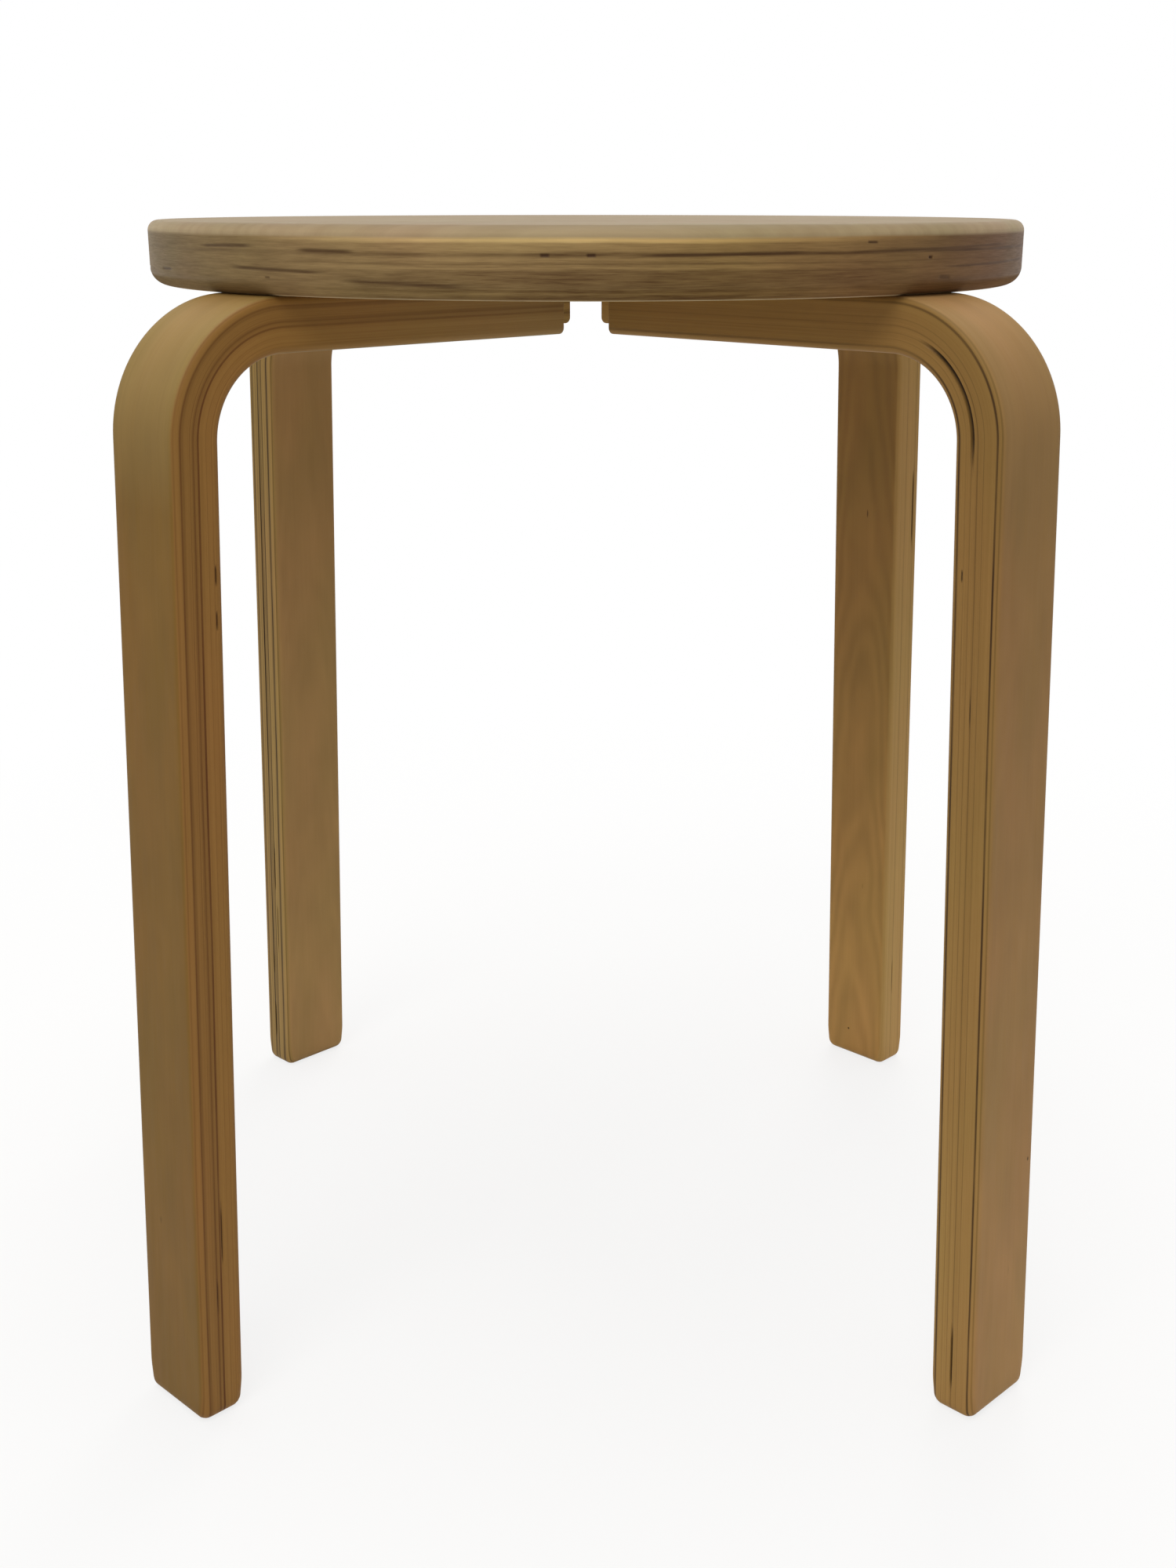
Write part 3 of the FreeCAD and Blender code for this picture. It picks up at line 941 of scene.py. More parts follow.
@dataclass(frozen=True)
class Seat:
    """The round board, with a rounded rim, splits between its plies and holes for eight inserts."""

    splits: tuple[Split, ...]
    radius: float = SEAT_RADIUS
    top: float = SEAT_TOP
    thickness: float = SEAT_THICKNESS
    top_rounding: float = 0.004
    bottom_rounding: float = 0.0065
    hole_distances: Pair = SCREW_DISTANCES
    hole_bearings: tuple[float, ...] = (45.0, 135.0, 225.0, 315.0)
    hole_diameter: float = 0.0101
    hole_depth: float = 0.015
    hole_point: float = 0.001
    hole_window: float = 0.009
    # The middle of a hole's pointed end, as shares of the hole's radius and of the point's height
    point_middle: Pair = (0.5, 0.6)
    split_fade: float = 0.22
    # The opening from which a split's painted shade is full
    dark_opening: float = 0.0003
    # Radii of the rings on the face, and below it apart from the holes' windows
    face_rings: tuple[float, ...] = (0.01, 0.03, 0.06, 0.09, 0.12, 0.15)
    under_rings: tuple[float, ...] = (0.015, 0.035, 0.09, 0.108, 0.150, 0.158)
    # Rows in the roundings and windows, and the step between rows on the flat of the rim
    top_rows: int = 18
    bottom_rows: int = 14
    window_rows: int = 7
    row_step: float = 0.00027
    # Degrees between columns, also beside short splits, and the least that is kept
    column_step: float = 0.5
    fine_step: float = 0.125
    least_step: float = 0.06
    short_split: float = 4.0
    short_margin: float = 0.2

    def _profile(self) -> Array:
        """Walk from the top's middle round the rim to the underside's middle.

        Returns:
            Each row's radius, height and outward direction as an angle above level.
        """
        bottom = self.top - self.thickness
        upper, lower = self.top - self.top_rounding, bottom + self.bottom_rounding
        top_turn = np.linspace(QUARTER_TURN, 0, self.top_rows)
        low_turn = np.linspace(0, -QUARTER_TURN, self.bottom_rows)
        window = np.linspace(self.hole_window, -self.hole_window, self.window_rows)
        windows = [distance + window for distance in self.hole_distances]
        below = np.sort(np.concatenate([self.under_rings, *windows]))[::-1]
        return joined(
            (self.face_rings, self.top, QUARTER_TURN),
            (self.radius - self.top_rounding * (1 - np.cos(top_turn)),
             upper + self.top_rounding * np.sin(top_turn), top_turn),
            (self.radius, np.arange(upper - self.row_step, lower + self.row_step / 2, -self.row_step), 0.0),
            (self.radius - self.bottom_rounding * (1 - np.cos(low_turn)),
             lower + self.bottom_rounding * np.sin(low_turn), low_turn),
            (below, bottom, -QUARTER_TURN))

    def build(self, material: Material) -> Object:
        """Turn the profile round the seat's axis, open the splits and let the holes in.

        A point is at radius r and bearing b: x = r cos b, y = r sin b, moved inwards by the split.

        Args:
            material: the seat's finish.

        Returns:
            The finished seat.
        """
        short = [np.arange(split.start - self.short_margin, split.end + self.short_margin, self.fine_step)
                 for split in self.splits if split.end - split.start < self.short_split]
        even = np.arange(0, 360, self.column_step)
        bearings = merged(np.concatenate([even, *short]), self.least_step)[None]
        profile = self._profile()
        radii, heights, facing = profile[..., None]
        on_rim = np.abs(facing) < QUARTER_TURN
        cut, share = open_splits(self.splits, bearings, heights, on_rim, self.split_fade, self.dark_opening)
        turn = np.radians(bearings)
        reach = radii - cut * np.cos(facing)
        level = heights - cut * np.sin(facing)
        points = np.stack([reach * np.cos(turn), reach * np.sin(turn), level], axis=-1)
        shell = Shell()
        grid = shell.add(points, splits=share)
        openings = [self._hole(shell, grid, profile, bearings[0], distance, bearing)
                    for distance in self.hole_distances for bearing in self.hole_bearings]
        shell.skin(grid, openings)
        shell.cap(grid[0], (0.0, 0.0, self.top))
        shell.cap(grid[-1], (0.0, 0.0, self.top - self.thickness))
        return stand_in(shell, material, "seat", "Round_board")

    def _hole(self, shell: Shell, grid: Array, profile: Array, bearings: Array, distance: float,
              bearing: float) -> tuple[Array, Array]:
        """Sink one blind hole into the underside.

        Args:
            shell: the seat's surface so far.
            grid: its point numbers.
            profile: radius, height and direction of each row.
            bearings: bearing of each column.
            distance: from the seat's axis to the hole's axis.
            bearing: the hole's bearing in degrees.

        Returns:
            The rows and columns of cells that the hole takes.
        """
        radii, _, facing = profile
        near = np.abs(radii - distance) < self.hole_window + TOUCH
        rows = np.flatnonzero((facing == -QUARTER_TURN) & near)
        columns = np.flatnonzero(np.abs(bearings - bearing) <= math.degrees(self.hole_window / distance))
        turn, radius, depth = math.radians(bearing), self.hole_diameter / 2, self.hole_depth
        centre = np.array([distance * math.cos(turn), distance * math.sin(turn), self.top - self.thickness])
        inwards, upwards = self.point_middle
        steps = np.array([[radius, 0.0], [radius, depth],
                          [radius * inwards, depth + upwards * self.hole_point]])
        last = shell.sink(grid, np.ix_(rows, columns), centre, steps)
        shell.cap(last, centre + UP * (depth + self.hole_point))
        return rows[:-1], columns[:-1]


def end_shrink(distance: Array, rounding: float) -> Array:
    """How far a section draws in at a distance from a rounded end: r - sqrt(r^2 - (r - t)^2)."""
    inside = np.clip(rounding - distance, 0, rounding)
    return rounding - np.sqrt(rounding ** 2 - inside ** 2)


@dataclass(frozen=True)
class Leg:
    """One leg: a flat limb under the seat, a round bend and a straight run that leans out to the floor."""

    place: str
    bearing: float
    side: Side
    splits: tuple[Split, ...]
    limb_end: float = 0.031
    bend_start: float = 0.16704
    bend_radius: float = 0.049
    top: float = SEAT_TOP - SEAT_THICKNESS
    thickness: float = LEG_THICKNESS
    width: float = 0.038
    splay: float = math.radians(2.4)
    edge_rounding: float = 0.0025
    foot_corner: float = 0.0046
    foot_corner_run: float = 0.014
    foot_rounding: float = 0.0046
    least_corner: float = 0.0002
    limb_end_rounding: float = 0.0010
    screw_distances: Pair = SCREW_DISTANCES
    head_bore: float = 0.0150
    head_bore_depth: float = 0.0032
    shank_bore: float = 0.0066
    bore_edge: float = 0.0003
    window_cell: float = 0.00165
    window_cells: int = 12
    corner_points: int = 7
    # Sections before, between and after the bores, round the bend, down the straight and at the foot
    sections: tuple[int, ...] = (6, 12, 7, 36, 88, 8)
    foot_run: float = 0.016
    least_step: float = 0.0004
    # More sections in short splits, and points through the stack, also across a split
    short_split: float = 0.014
    split_step: float = 0.0009
    split_sections: int = 5
    split_points: int = 7
    depth_step: float = 0.0006
    least_depth_step: float = 0.0001
    split_fade: float = 0.25
    # The opening from which a split's painted shade is full
    dark_opening: float = 0.0001

    @property
    def _direction(self) -> Pair:
        """Cosine and sine of the leg's bearing."""
        return math.cos(math.radians(self.bearing)), math.sin(math.radians(self.bearing))

    @property
    def bend_height(self) -> float:
        """Height of the bend's centre."""
        return self.top - self.bend_radius

    @property
    def middle_radius(self) -> float:
        """The bend's radius at half the thickness."""
        return self.bend_radius - self.thickness / 2

    @property
    def bend_at(self) -> float:
        """Distance along the middle line where the bend starts."""
        return self.bend_start - self.limb_end

    @property
    def straight_at(self) -> float:
        """Distance along the middle line where the bend ends."""
        return self.bend_at + self.middle_radius * (QUARTER_TURN - self.splay)

    @property
    def length(self) -> float:
        """Length of the middle line from the limb's end to the floor."""
        return self.straight_at + self._straight_length(self.thickness / 2)

    def _straight_length(self, depth: Array | float) -> Array | float:
        """Length of the straight run to the floor at a depth in the stack."""
        return (self.bend_height + (self.bend_radius - depth) * math.sin(self.splay)) / math.cos(self.splay)

    def put(self, along: Array, across: Array, depth: Array) -> Array:
        """Place points of the flat stack on the bent leg.

        On the limb a point is level with its distance. In the bend it turns about the bend's centre
        at the bend's radius less its depth. On the straight run it follows the leaning line, stretched
        so that every depth reaches the floor together.

        Args:
            along: distance along the middle line.
            across: distance from the leg's middle plane.
            depth: distance from the outer face.

        Returns:
            The points, with three numbers in the last axis.
        """
        angle = np.clip(QUARTER_TURN - (along - self.bend_at) / self.middle_radius, self.splay, QUARTER_TURN)
        stretch = self._straight_length(depth) / self._straight_length(self.thickness / 2)
        after = np.maximum(along - self.straight_at, 0.0) * stretch
        radius = self.bend_radius - depth
        before = np.minimum(along - self.bend_at, 0.0)
        out = self.bend_start + before + radius * np.cos(angle) + after * math.sin(self.splay)
        height = self.bend_height + radius * np.sin(angle) - after * math.cos(self.splay)
        cosine, sine = self._direction
        return np.stack([out * cosine - across * sine, out * sine + across * cosine, height], axis=-1)

    def _stations(self) -> Array:
        """Space the sections along the middle line, closer at ends, bores and splits.

        Returns:
            The distance of each section.
        """
        rounded = 1 - np.sin(np.linspace(QUARTER_TURN, 0, self.corner_points))
        window = self.window_cell * (np.arange(self.window_cells + 1) - self.window_cells / 2)
        inner, outer = (distance - self.limb_end + window for distance in self.screw_distances)
        foot = self.length - self.foot_run
        limits = (
            (self.limb_end_rounding, inner[0]), (inner[-1], outer[0]), (outer[-1], self.bend_at),
            (self.bend_at, self.straight_at), (self.straight_at, foot),
            (foot, self.length - self.foot_rounding))
        runs = [np.linspace(*ends, count)[1:-1] for ends, count in zip(limits, self.sections)]
        runs.append([self.bend_at, self.straight_at, foot])
        for split in self.splits:
            run = split.end - split.start
            if run < self.short_split:
                count = max(self.split_sections, int(run / self.split_step))
                runs.append(np.linspace(split.start, split.end, count))
        ends = [self.limb_end_rounding * rounded, self.length - self.foot_rounding * rounded]
        return np.sort(np.concatenate([merged(np.concatenate(runs), self.least_step), inner, outer, *ends]))

    def _section(self) -> Array:
        """Walk once round a section with rounded corners.

        Returns:
            For each point the side that it hangs on across and through, from -1 to 1, and the
            corner's direction across and through.
        """
        low, high = self.edge_rounding, self.thickness - self.edge_rounding
        over_split = np.linspace(-0.5, 0.5, self.split_points)
        fine = [split.level + split.width * over_split for split in self.splits]
        even = np.arange(low, high + TOUCH, self.depth_step)
        depths = merged(np.clip(np.concatenate([even, *fine]), low, high), self.least_depth_step)
        through = (2 * depths - self.thickness) / (high - low)
        cells = 2 * int(round((self.width / 2 - self.edge_rounding) / self.window_cell))
        across = np.linspace(-1, 1, cells + 1)
        quarter = np.linspace(0, QUARTER_TURN, self.corner_points)[1:-1]
        sine, cosine = np.sin(quarter), np.cos(quarter)
        return joined(
            (across, -1, 0, -1), (1, -1, sine, -cosine), (1, through, 1, 0), (1, 1, cosine, sine),
            (across[::-1], 1, 0, 1), (-1, 1, -sine, cosine), (-1, through[::-1], -1, 0),
            (-1, -1, -cosine, -sine))

    def build(self, material: Material) -> Object:
        """Carry the section along the leg, draw it in at its ends, open its splits and bore it.

        Args:
            material: this leg's finish.

        Returns:
            The finished leg.
        """
        along = self._stations()[:, None]
        hang_across, hang_through, face_across, face_through = self._section()
        to_foot = self.length - along
        shrink = end_shrink(along, self.limb_end_rounding) + end_shrink(to_foot, self.foot_rounding)
        growth = (self.foot_corner - self.edge_rounding) * ease(1 - to_foot / self.foot_corner_run)
        corner = np.maximum(self.edge_rounding + growth - shrink, self.least_corner)
        half_width, half_thickness = self.width / 2 - shrink - corner, self.thickness / 2 - shrink - corner
        across = hang_across * half_width + corner * face_across
        depth = self.thickness / 2 + hang_through * half_thickness + corner * face_through
        along_all = np.broadcast_to(along, depth.shape)
        cut, share = open_splits(self.splits, along, depth, face_across == self.side.value,
                                 self.split_fade, self.dark_opening)
        points = self.put(along_all, across - self.side.value * cut, depth)
        shell = Shell()
        grid = shell.add(points, np.stack([along_all, across, depth], axis=-1), share)
        middle_row = across[len(across) // 2]
        openings = []
        for distance in self.screw_distances:
            at = distance - self.limb_end
            openings += self._bore(shell, grid, at, along[:, 0], middle_row, face_through)
        shell.skin(grid, openings)
        for row, end in ((0, 0.0), (-1, self.length)):
            middle = np.array([end, 0.0, self.thickness / 2])
            shell.cap(grid[row], self.put(*middle), middle)
        return stand_in(shell, material, f"leg_{self.place}")

    def _unbent(self, points: Array) -> Array:
        """Give the place in the stack of points on the level limb.

        Args:
            points: the points.

        Returns:
            Their distance along and across the leg and their depth.
        """
        x, y, z = np.moveaxis(points, -1, 0)
        cosine, sine = self._direction
        return np.stack([x * cosine + y * sine - self.limb_end, y * cosine - x * sine, self.top - z], axis=-1)

    def _bore(self, shell: Shell, grid: Array, at: float, along: Array, across: Array,
              face_through: Array) -> list[tuple[Array, Array]]:
        """Bore one stepped screw hole through the limb, head seat below.

        Args:
            shell: the leg's surface so far.
            grid: its point numbers.
            at: distance of the screw's axis along the middle line.
            along: distance of each row along the middle line.
            across: distance of each column from the middle plane.
            face_through: each column's direction through the leg.

        Returns:
            The rows and columns of cells that the hole takes on both broad faces.
        """
        half = self.window_cell * self.window_cells / 2 + TOUCH
        rows = np.flatnonzero(np.abs(along - at) <= half)
        upper = np.flatnonzero((face_through == -1) & (np.abs(across) <= half))
        lower = np.flatnonzero((face_through == 1) & (np.abs(across) <= half))[::-1]
        head, shank, edge = self.head_bore / 2, self.shank_bore / 2, self.bore_edge
        steps = np.array([[head + edge, 0.0], [head, edge], [head, self.head_bore_depth],
                          [shank, self.head_bore_depth], [shank, self.thickness]])
        last = shell.sink(grid, np.ix_(rows, lower), self.put(at, 0.0, self.thickness), steps, self._unbent)
        shell.skin(np.stack([last, edge_loop(grid[np.ix_(rows, upper)])]))
        return [(rows[:-1], upper[:-1]), (rows[:-1], lower[1:])]


@dataclass(frozen=True)
class MetalFinish:
    """Turned metal: fine rings about the fastener's own axis, a little tarnish and soft gloss."""

    name: str
    clean: Colour
    dull: Colour
    low_roughness: float
    high_roughness: float
    # Waves in a metre out from the axis and up, and of the tarnish
    ring_waves: Triple = (9000.0, 5000.0, 0.0)
    stain_waves: Triple = (420.0, 420.0, 420.0)
    stain_range: Pair = (0.4, 0.7)
    relief: float = 0.25
    relief_height: float = 0.00003

    def build(self, centre: Pair) -> Material:
        """Make the material for a fastener.

        Args:
            centre: the fastener's axis, across the floor.

        Returns:
            The material.
        """
        material, graph, shader = new_surface(self.name)
        spot = graph.spot()
        x, y, height = graph.parts(graph.vector("SUBTRACT", spot, (*centre, 0.0)))
        rings = graph.noise(graph.join(graph.length(graph.join(x, y)), height), self.ring_waves)
        stain = graph.noise(spot, self.stain_waves, detail=3.0).spread(*self.stain_range, 0.0, 1.0)
        graph.fill(shader, Base_Color=graph.mix(stain, self.clean, self.dull), Metallic=1.0,
                   Roughness=rings.between(self.low_roughness, self.high_roughness),
                   Normal=graph.bump(rings, self.relief, self.relief_height))
        return material


@dataclass(frozen=True)
class Fastener:
    """A screw or an insert at one place, with its thread as real relief."""

    place: str
    position: str
    bearing: float
    distance: float
    columns: int = 36
    rows_in_pitch: int = 6

    @property
    def centre(self) -> Pair:
        """The fastener's axis, across the floor."""
        turn = math.radians(self.bearing)
        return (self.distance * math.cos(turn), self.distance * math.sin(turn))

    @property
    def angles(self) -> Array:
        """Angles of the columns about the axis, in one row."""
        return np.arange(self.columns)[None] * 2 * math.pi / self.columns

    def _thread(self, base: float, depth: float, pitch: float, low: float, high: float,
                turn: Turn) -> tuple[Array, Array]:
        """Wind a thread: the radius rises and falls with height / pitch - angle / full turn.

        Args:
            base: the radius of the thread's crests.
            depth: how far its roots are from its crests.
            pitch: its height in one turn.
            low: its lowest height.
            high: its highest height.
            turn: whether the roots go inwards or outwards.

        Returns:
            The radius at each row and column, and each row's height as a column.
        """
        heights = np.linspace(low, high, int(round((high - low) / pitch * self.rows_in_pitch)) + 1)[:, None]
        phase = np.mod((heights - low) / pitch - self.angles / math.tau, 1.0)
        groove = 1 - np.abs(2 * phase - 1)
        fade = ease(np.minimum(heights - low, high - heights) / pitch)
        return base - turn.value * depth * groove * fade, heights

    def _turned(self, *rows: Sequence[Array | float]) -> tuple[Shell, Array]:
        """Turn rows of points about the axis: x and y are the axis plus radius * cos and sin.

        Args:
            rows: radii of one or more rows, and their heights.

        Returns:
            A new surface with the points, and their numbers.
        """
        radii, levels = joined(*rows)
        x, y = self.centre
        shell = Shell()
        return shell, shell.add(np.stack(
            [x + radii * np.cos(self.angles), y + radii * np.sin(self.angles), levels], axis=-1))

    def _finished(self, shell: Shell, finish: MetalFinish, kind: str, metal: str) -> Object:
        """Make a shell the piece that stands for this fastener's node, in its own metal."""
        node = f"{kind}_{self.place}_{self.position}"
        return stand_in(shell, finish.build(self.centre), node)


@dataclass(frozen=True)
class Screw(Fastener):
    """A machine screw with a wide flat head, a hexagon socket below and a thread above."""

    low: float = 0.4071
    head_height: float = 0.0026
    head_diameter: float = 0.014
    head_edge: float = 0.0004
    shank_diameter: float = 0.006
    length: float = 0.030
    socket_width: float = 0.004
    socket_depth: float = 0.0018
    socket_edge: float = 0.0002
    pitch: float = 0.001
    thread_depth: float = 0.0005
    plain_length: float = 0.006
    tip_length: float = 0.0006
    tip_inset: float = 0.0007

    def build(self, finish: MetalFinish) -> Object:
        """Turn the head and shank, sink the socket and wind the thread.

        The socket's radius is half its width over cos(angle from the middle of the nearest flat).

        Args:
            finish: the screw's metal.

        Returns:
            The finished screw.
        """
        sixth = math.pi / 3
        low, head, shank, edge = self.low, self.head_diameter / 2, self.shank_diameter / 2, self.head_edge
        high, floor = low + self.head_height, low + self.socket_depth
        tip = high + self.length
        hexagon = self.socket_width / 2 / np.cos(np.mod(self.angles, sixth) - sixth / 2)
        mouth = self.socket_width / 2 / math.cos(sixth / 2) + self.socket_edge
        flat = np.ones_like(hexagon)
        thread = self._thread(shank, self.thread_depth, self.pitch, high + self.plain_length,
                              tip - self.tip_length, Turn.OUTSIDE)
        shell, grid = self._turned(
            (hexagon * 0.5, floor), (hexagon, floor - self.socket_edge), (hexagon, low + self.socket_edge),
            (flat * mouth, low), (flat * (head - edge), low), (flat * (head - edge * 0.3), low + edge * 0.3),
            (flat * head, low + edge), (flat * head, high - edge * 0.5), (flat * (head - edge * 0.5), high),
            (flat * shank, high), thread, (flat * (shank - self.tip_inset), tip))
        shell.skin(grid)
        shell.cap(grid[0], (*self.centre, floor))
        shell.cap(grid[-1], (*self.centre, tip))
        return self._finished(shell, finish, "screw", "steel")


@dataclass(frozen=True)
class Insert(Fastener):
    """A threaded sleeve let into the seat: a coarse thread outside and a fine one in its bore."""

    low: float = SEAT_TOP - SEAT_THICKNESS
    length: float = 0.013
    diameter: float = 0.010
    bore: float = 0.0061
    edge: float = 0.0004
    outside_pitch: float = 0.0025
    outside_depth: float = 0.0008
    inside_pitch: float = 0.001
    inside_depth: float = 0.0004

    def build(self, finish: MetalFinish) -> Object:
        """Wind the outer thread upwards and the inner thread back down, and close the ring.

        Args:
            finish: the insert's metal.

        Returns:
            The finished insert.
        """
        high = self.low + self.length
        run = (self.low + self.edge, high - self.edge)
        outer = self._thread(self.diameter / 2, self.outside_depth, self.outside_pitch, *run, Turn.OUTSIDE)
        inner = self._thread(self.bore / 2, self.inside_depth, self.inside_pitch, *run, Turn.INSIDE)
        flat = np.ones_like(self.angles)
        mouth, shoulder = flat * (self.bore / 2 + self.edge), flat * (self.diameter / 2 - self.edge)
        shell, grid = self._turned(
            (mouth, self.low), (shoulder, self.low), outer, (shoulder, high), (mouth, high),
            [part[::-1] for part in inner])
        shell.skin(np.vstack([grid, grid[:1]]))
        return self._finished(shell, finish, "insert", "brass")


def background_share(graph: Graph) -> Value:
    """Tell where the plain background shows: to the camera, in gloss and through glass."""
    rays = (f"Is {ray} Ray" for ray in ("Camera", "Glossy", "Transmission"))
    return graph.most(*(graph.value("ShaderNodeLightPath", output=ray) for ray in rays))


@dataclass(frozen=True)
class Studio:
    """A white floor under soft light, and a camera where the picture was taken."""

    camera_place: Triple = (-0.0022, -0.7909, 0.4584)
    camera_pitch: float = -17.93
    camera_yaw: float = 0.22
    lens: float = 42.42
    sensor: float = 36.0
    shift_up: float = 0.0070
    floor_reach: tuple[float, ...] = (0.2, 0.6, 1.5, 3.0, 6.0)
    floor_columns: int = 96
    paper: Colour = srgb(236, 234, 230)
    # Distances between which the floor turns white, and how white it is at both
    floor_white: tuple[float, ...] = (0.25, 0.9, 0.8, 1.0)
    room_light: float = 0.35
    lit_height: float = 0.25
    # Name, power, size, whether gloss shows it, and place
    lamps: tuple[tuple[str, float, float, bool, Triple], ...] = (
        ("Soft top light", 25.0, 1.8, True, (0.0, 0.15, 2.3)),
        ("Soft front light", 20.0, 1.4, True, (-0.5, -1.4, 2.0)),
        ("Soft back light", 13.0, 1.2, False, (0.4, 1.7, 1.3)))

    def build(self) -> None:
        """Set up the camera, the floor, the lamps and the room."""
        self._camera()
        self._floor()
        self._lamps()
        self._room()
        bpy.context.scene.view_settings.view_transform = "Standard"

    def _camera(self) -> None:
        """Stand the camera in front, a little above the seat, looking down."""
        data = bpy.data.cameras.new("Camera")
        data.lens = self.lens
        data.sensor_width = self.sensor
        data.shift_y = self.shift_up
        camera = bpy.data.objects.new("Camera", data)
        camera.location = self.camera_place
        camera.rotation_euler = (math.radians(90 + self.camera_pitch), 0.0, -math.radians(self.camera_yaw))
        bpy.context.scene.collection.objects.link(camera)
        bpy.context.scene.camera = camera

    def _floor(self) -> None:
        """Lay a round floor: its radius at each ring and bearing gives x and y."""
        turn = np.linspace(0, math.tau, self.floor_columns, endpoint=False)
        reach = np.array(self.floor_reach)[:, None]
        points = np.stack(np.broadcast_arrays(reach * np.cos(turn), reach * np.sin(turn), 0.0), axis=-1)
        shell = Shell()
        grid = shell.add(points)
        shell.skin(grid)
        shell.cap(grid[0], (0.0, 0.0, 0.0))
        floor = shell.build("Floor", self._floor_material())
        if floor.data.polygons[0].normal.z < 0:
            floor.data.flip_normals()

    def _floor_material(self) -> Material:
        """Make paper that reads white to the camera, keeps its shadow and is clear from below.

        Returns:
            The material.
        """
        material, graph, shader = new_surface("Studio floor")
        graph.tree.nodes.remove(shader)
        paper = graph.value("ShaderNodeBsdfDiffuse", self.paper)
        white = graph.value("ShaderNodeEmission", WHITE)
        clear = graph.value("ShaderNodeBsdfTransparent")
        share = background_share(graph) * graph.length(graph.spot()).spread(*self.floor_white)
        below = (graph.value("ShaderNodeNewGeometry", output="Backfacing")
                 * graph.value("ShaderNodeLightPath", output="Is Camera Ray"))
        above = graph.value("ShaderNodeMixShader", share, paper, white)
        both = graph.value("ShaderNodeMixShader", below, above, clear)
        graph.fill(graph.tree.nodes["Material Output"], Surface=both)
        return material

    def _lamps(self) -> None:
        """Hang wide soft lamps above, in front up on the left and low behind."""
        target = Vector((0.0, 0.0, self.lit_height))
        for title, power, size, glossy, place in self.lamps:
            data = bpy.data.lights.new(title, "AREA")
            data.shape = "DISK"
            data.size = size
            data.energy = power
            lamp = bpy.data.objects.new(title, data)
            lamp.location = place
            lamp.visible_glossy = glossy
            lamp.rotation_euler = (target - Vector(place)).to_track_quat("-Z", "Y").to_euler()
            bpy.context.scene.collection.objects.link(lamp)

    def _room(self) -> None:
        """Fill the room with even white light, and show it plain white where the background shows."""
        world = bpy.data.worlds.new("Studio")
        world.use_nodes = True
        bpy.context.scene.world = world
        graph = Graph(world.node_tree)
        strength = background_share(graph).spread(0.0, 1.0, self.room_light, 1.0)
        graph.fill(world.node_tree.nodes["Background"], Color=WHITE, Strength=strength)


def rim_splits() -> tuple[Split, ...]:
    """List the splits in the seat's rim.

    Returns:
        The splits, by bearing in degrees and level in metres.
    """
    # Both bearings, both heights, width and opening in millimetres, first in front and then behind
    rows = (
        (205.4, 209.9, 433.2, 433.4, 1.2, 0.22), (218.0, 230.0, 442.2, 442.7, 1.4, 0.20),
        (235.6, 244.5, 441.6, 441.2, 1.6, 0.22), (223.8, 241.0, 435.5, 434.3, 1.5, 0.22),
        (231.0, 231.9, 432.3, 432.3, 0.9, 0.25), (241.0, 258.5, 432.3, 430.3, 1.5, 0.22),
        (264.9, 266.1, 440.6, 440.6, 1.4, 0.40), (269.8, 271.0, 440.6, 440.6, 1.4, 0.40),
        (273.5, 297.0, 440.3, 441.1, 1.3, 0.22), (302.3, 304.0, 444.1, 444.0, 1.1, 0.25),
        (298.0, 334.0, 441.0, 442.3, 1.1, 0.15), (312.2, 313.0, 438.7, 438.7, 1.3, 0.50),
        (314.2, 316.8, 432.1, 431.9, 1.2, 0.22), (313.0, 346.0, 435.1, 436.4, 1.0, 0.16),
        (12.0, 27.0, 441.0, 440.8, 1.2, 0.15), (38.0, 40.0, 438.6, 438.6, 1.2, 0.30),
        (55.0, 76.0, 432.5, 432.2, 1.2, 0.15), (88.0, 107.0, 440.8, 441.0, 1.2, 0.15),
        (118.0, 119.6, 435.4, 435.4, 1.2, 0.40), (131.0, 150.0, 435.6, 435.0, 1.1, 0.15),
        (160.0, 178.0, 441.0, 440.8, 1.1, 0.12), (184.0, 197.0, 432.4, 432.8, 1.1, 0.12))
    return tuple(Split(start, end, *(size * MILLIMETRE for size in (low, width, opening, high - low)))
                 for start, end, low, high, width, opening in rows)


def items(kind: type, lengths: int, *rows: tuple[float, ...]) -> tuple:
    """Make one item of a kind from each row, whose first numbers are lengths in millimetres."""
    return tuple(kind(*(size * MILLIMETRE for size in row[:lengths]), *row[lengths:]) for row in rows)


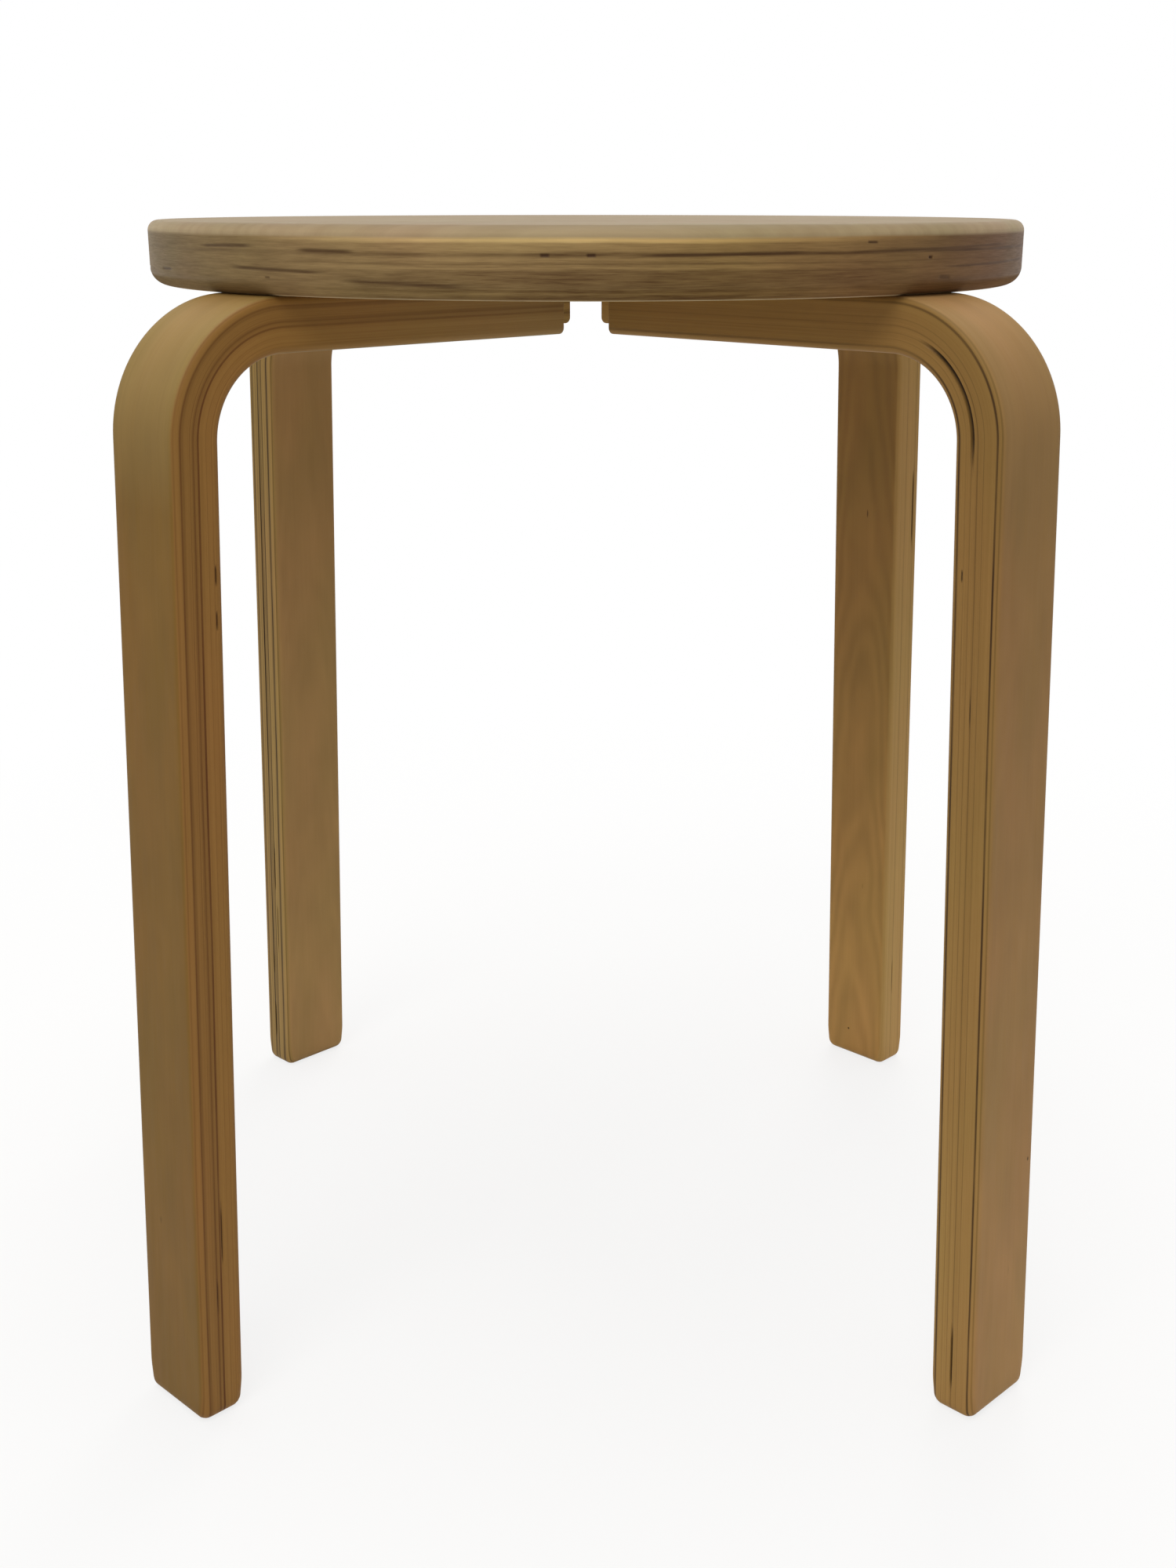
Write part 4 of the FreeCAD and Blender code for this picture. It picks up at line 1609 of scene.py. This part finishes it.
def stool_legs() -> tuple[tuple[Leg, LegFinish], ...]:
    """Describe the legs.

    A split has start, end, depth, width and opening, a glue line depth, width and darkness, and a
    fleck its place along and across, length, width and darkness.

    Returns:
        Each leg with its finish.
    """
    # Each leg also gets painted light: brighter towards the floor out of the seat's shade (partly its own
    # tone), a painted sheen on the bend and, on the front left one, painted light on its shaded limb
    # The front left one has orange veneer edges and one strong glue line
    return ((
        Leg("front_left", 225.0, Side.LEFT, items(
            Split, 5, (237.0, 245.4, 16.4, 0.9, 0.6), (253.4, 261.0, 16.4, 0.9, 0.6),
            (481.0, 510.0, 11.0, 0.8, 0.4), (514.0, 528.0, 8.3, 0.6, 0.3))),
        LegFinish(
            "Leg plywood front left",
            srgb(125, 93, 41), srgb(157, 115, 58), srgb(102, 66, 28), srgb(92, 52, 18),
            (0.58, 0.66, 0.35, 0.60, 0.62, 0.40, 0.50, 0.66, 0.76, 0.72, 0.74, 0.66, 0.60),
            items(GlueLine, 2, (0.9, 0.5, 0.35), (3.3, 0.8, 0.60), (6.9, 0.4, 0.35), (8.4, 0.7, 0.55),
                  (10.3, 0.9, 0.95), (13.6, 0.4, 0.25), (15.8, 0.4, 0.30)),
            items(Fleck, 4, (495.0, -6.0, 4.0, 1.6, 0.22)), edge_painted_light_and_tone=0.08, bend_painted_sheen=(0.34, 0.60, 1.50),
            limb_painted_light=(0.06, 0.36, 0.95), lacquer=Lacquer(srgb(66, 38, 16), 0.15))
    # The front right one has pale veneer edges between two strong glue lines
    ), (
        Leg("front_right", 315.0, Side.RIGHT, items(
            Split, 5, (148.0, 208.0, 12.0, 1.7, 1.3), (239.0, 244.0, 14.9, 0.7, 0.3),
            (282.0, 297.0, 10.0, 0.5, 0.2), (534.0, 566.0, 10.0, 1.1, 0.9))),
        LegFinish(
            "Leg plywood front right",
            srgb(143, 109, 63), srgb(152, 118, 64), srgb(106, 76, 34), srgb(52, 32, 14),
            (0.62, 0.60, 0.66, 0.62, 0.62, 0.58, 0.55, 0.66, 0.62, 0.68, 0.70, 0.62, 0.70),
            items(GlueLine, 2, (0.8, 0.5, 0.30), (2.3, 0.9, 0.95), (7.3, 0.4, 0.30), (9.7, 0.5, 0.40),
                  (12.1, 0.4, 0.30), (14.4, 0.4, 0.25), (17.2, 0.9, 0.90)),
            items(Fleck, 4, (473.0, 15.0, 2.2, 1.4, 0.75), (517.0, 4.0, 5.0, 0.8, 0.15)),
            face_painted_light_and_tone=0.46, edge_painted_light_and_tone=0.52)
    # The rear left one has many dark glue lines
    ), (
        Leg("rear_left", 135.0, Side.LEFT, items(
            Split, 5, (208.0, 423.0, 7.7, 0.7, 0.4), (447.0, 476.0, 10.7, 0.9, 0.6),
            (481.0, 511.0, 12.0, 0.8, 0.5), (511.0, 525.0, 7.7, 0.9, 0.6), (541.0, 563.0, 7.7, 1.0, 0.8)),
            REAR_LIMB_END),
        LegFinish(
            "Leg plywood rear left",
            srgb(150, 118, 71), srgb(169, 136, 78), srgb(96, 72, 36), srgb(44, 28, 12),
            (0.60, 0.62, 0.50, 0.80, 0.62, 0.50, 0.62, 0.75, 0.85, 0.50, 0.60, 0.80, 0.60),
            items(GlueLine, 2, (3.3, 0.8, 0.75), (5.6, 0.5, 0.50), (7.7, 1.0, 1.00), (9.2, 0.5, 0.60),
                  (10.5, 0.8, 0.90), (12.6, 0.4, 0.40), (15.0, 1.1, 0.95), (18.3, 0.5, 0.45)),
            face_painted_light_and_tone=0.32, edge_painted_light_and_tone=0.12)
    # The rear right one has pale edges, and faint arches on its inner face
    ), (
        Leg("rear_right", 45.0, Side.RIGHT, items(
            Split, 5, (247.0, 290.0, 4.9, 1.4, 0.9), (514.0, 537.0, 11.3, 0.7, 0.3)), REAR_LIMB_END),
        LegFinish(
            "Leg plywood rear right",
            srgb(134, 101, 52), srgb(179, 143, 82), srgb(130, 98, 52), srgb(70, 44, 22),
            (0.60, 0.60, 0.66, 0.62, 0.66, 0.70, 0.66, 0.60, 0.66, 0.62, 0.66, 0.62, 0.50),
            items(GlueLine, 2, (4.4, 0.6, 0.35), (7.5, 0.4, 0.15), (11.3, 0.7, 0.30), (15.0, 0.4, 0.15)),
            items(Fleck, 4, (271.0, -2.0, 5.0, 1.1, 0.60), (562.0, 3.5, 1.6, 1.6, 0.85),
                  (474.0, -4.0, 4.0, 1.0, 0.20)),
            figure=0.06, face_painted_light_and_tone=1.05, edge_painted_light_and_tone=0.42)))


def main() -> None:
    """Load the frame, build and dress every sub-assembly in order, and report each piece's points and faces.
    """
    logging.basicConfig(level=logging.INFO, format="%(name)s: %(message)s")
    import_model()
    Studio().build()
    groups = WoodGroups()
    pieces = [Seat(rim_splits()).build(SeatFinish().build(groups))]
    steel = MetalFinish("Screw steel", srgb(196, 196, 192), srgb(150, 150, 148), 0.28, 0.42)
    brass = MetalFinish("Insert brass", srgb(214, 178, 108), srgb(168, 134, 76), 0.30, 0.46)
    for leg, finish in stool_legs():
        pieces.append(leg.build(finish.build(groups)))
        for position, distance in zip(("inner", "outer"), leg.screw_distances):
            spot = (leg.place, position, leg.bearing, distance)
            pieces += [Screw(*spot).build(steel), Insert(*spot).build(brass)]
    for piece in pieces:
        LOG.info("%s: %d points, %d faces", piece.name, len(piece.data.vertices), len(piece.data.polygons))


if __name__ == "__main__":
    main()
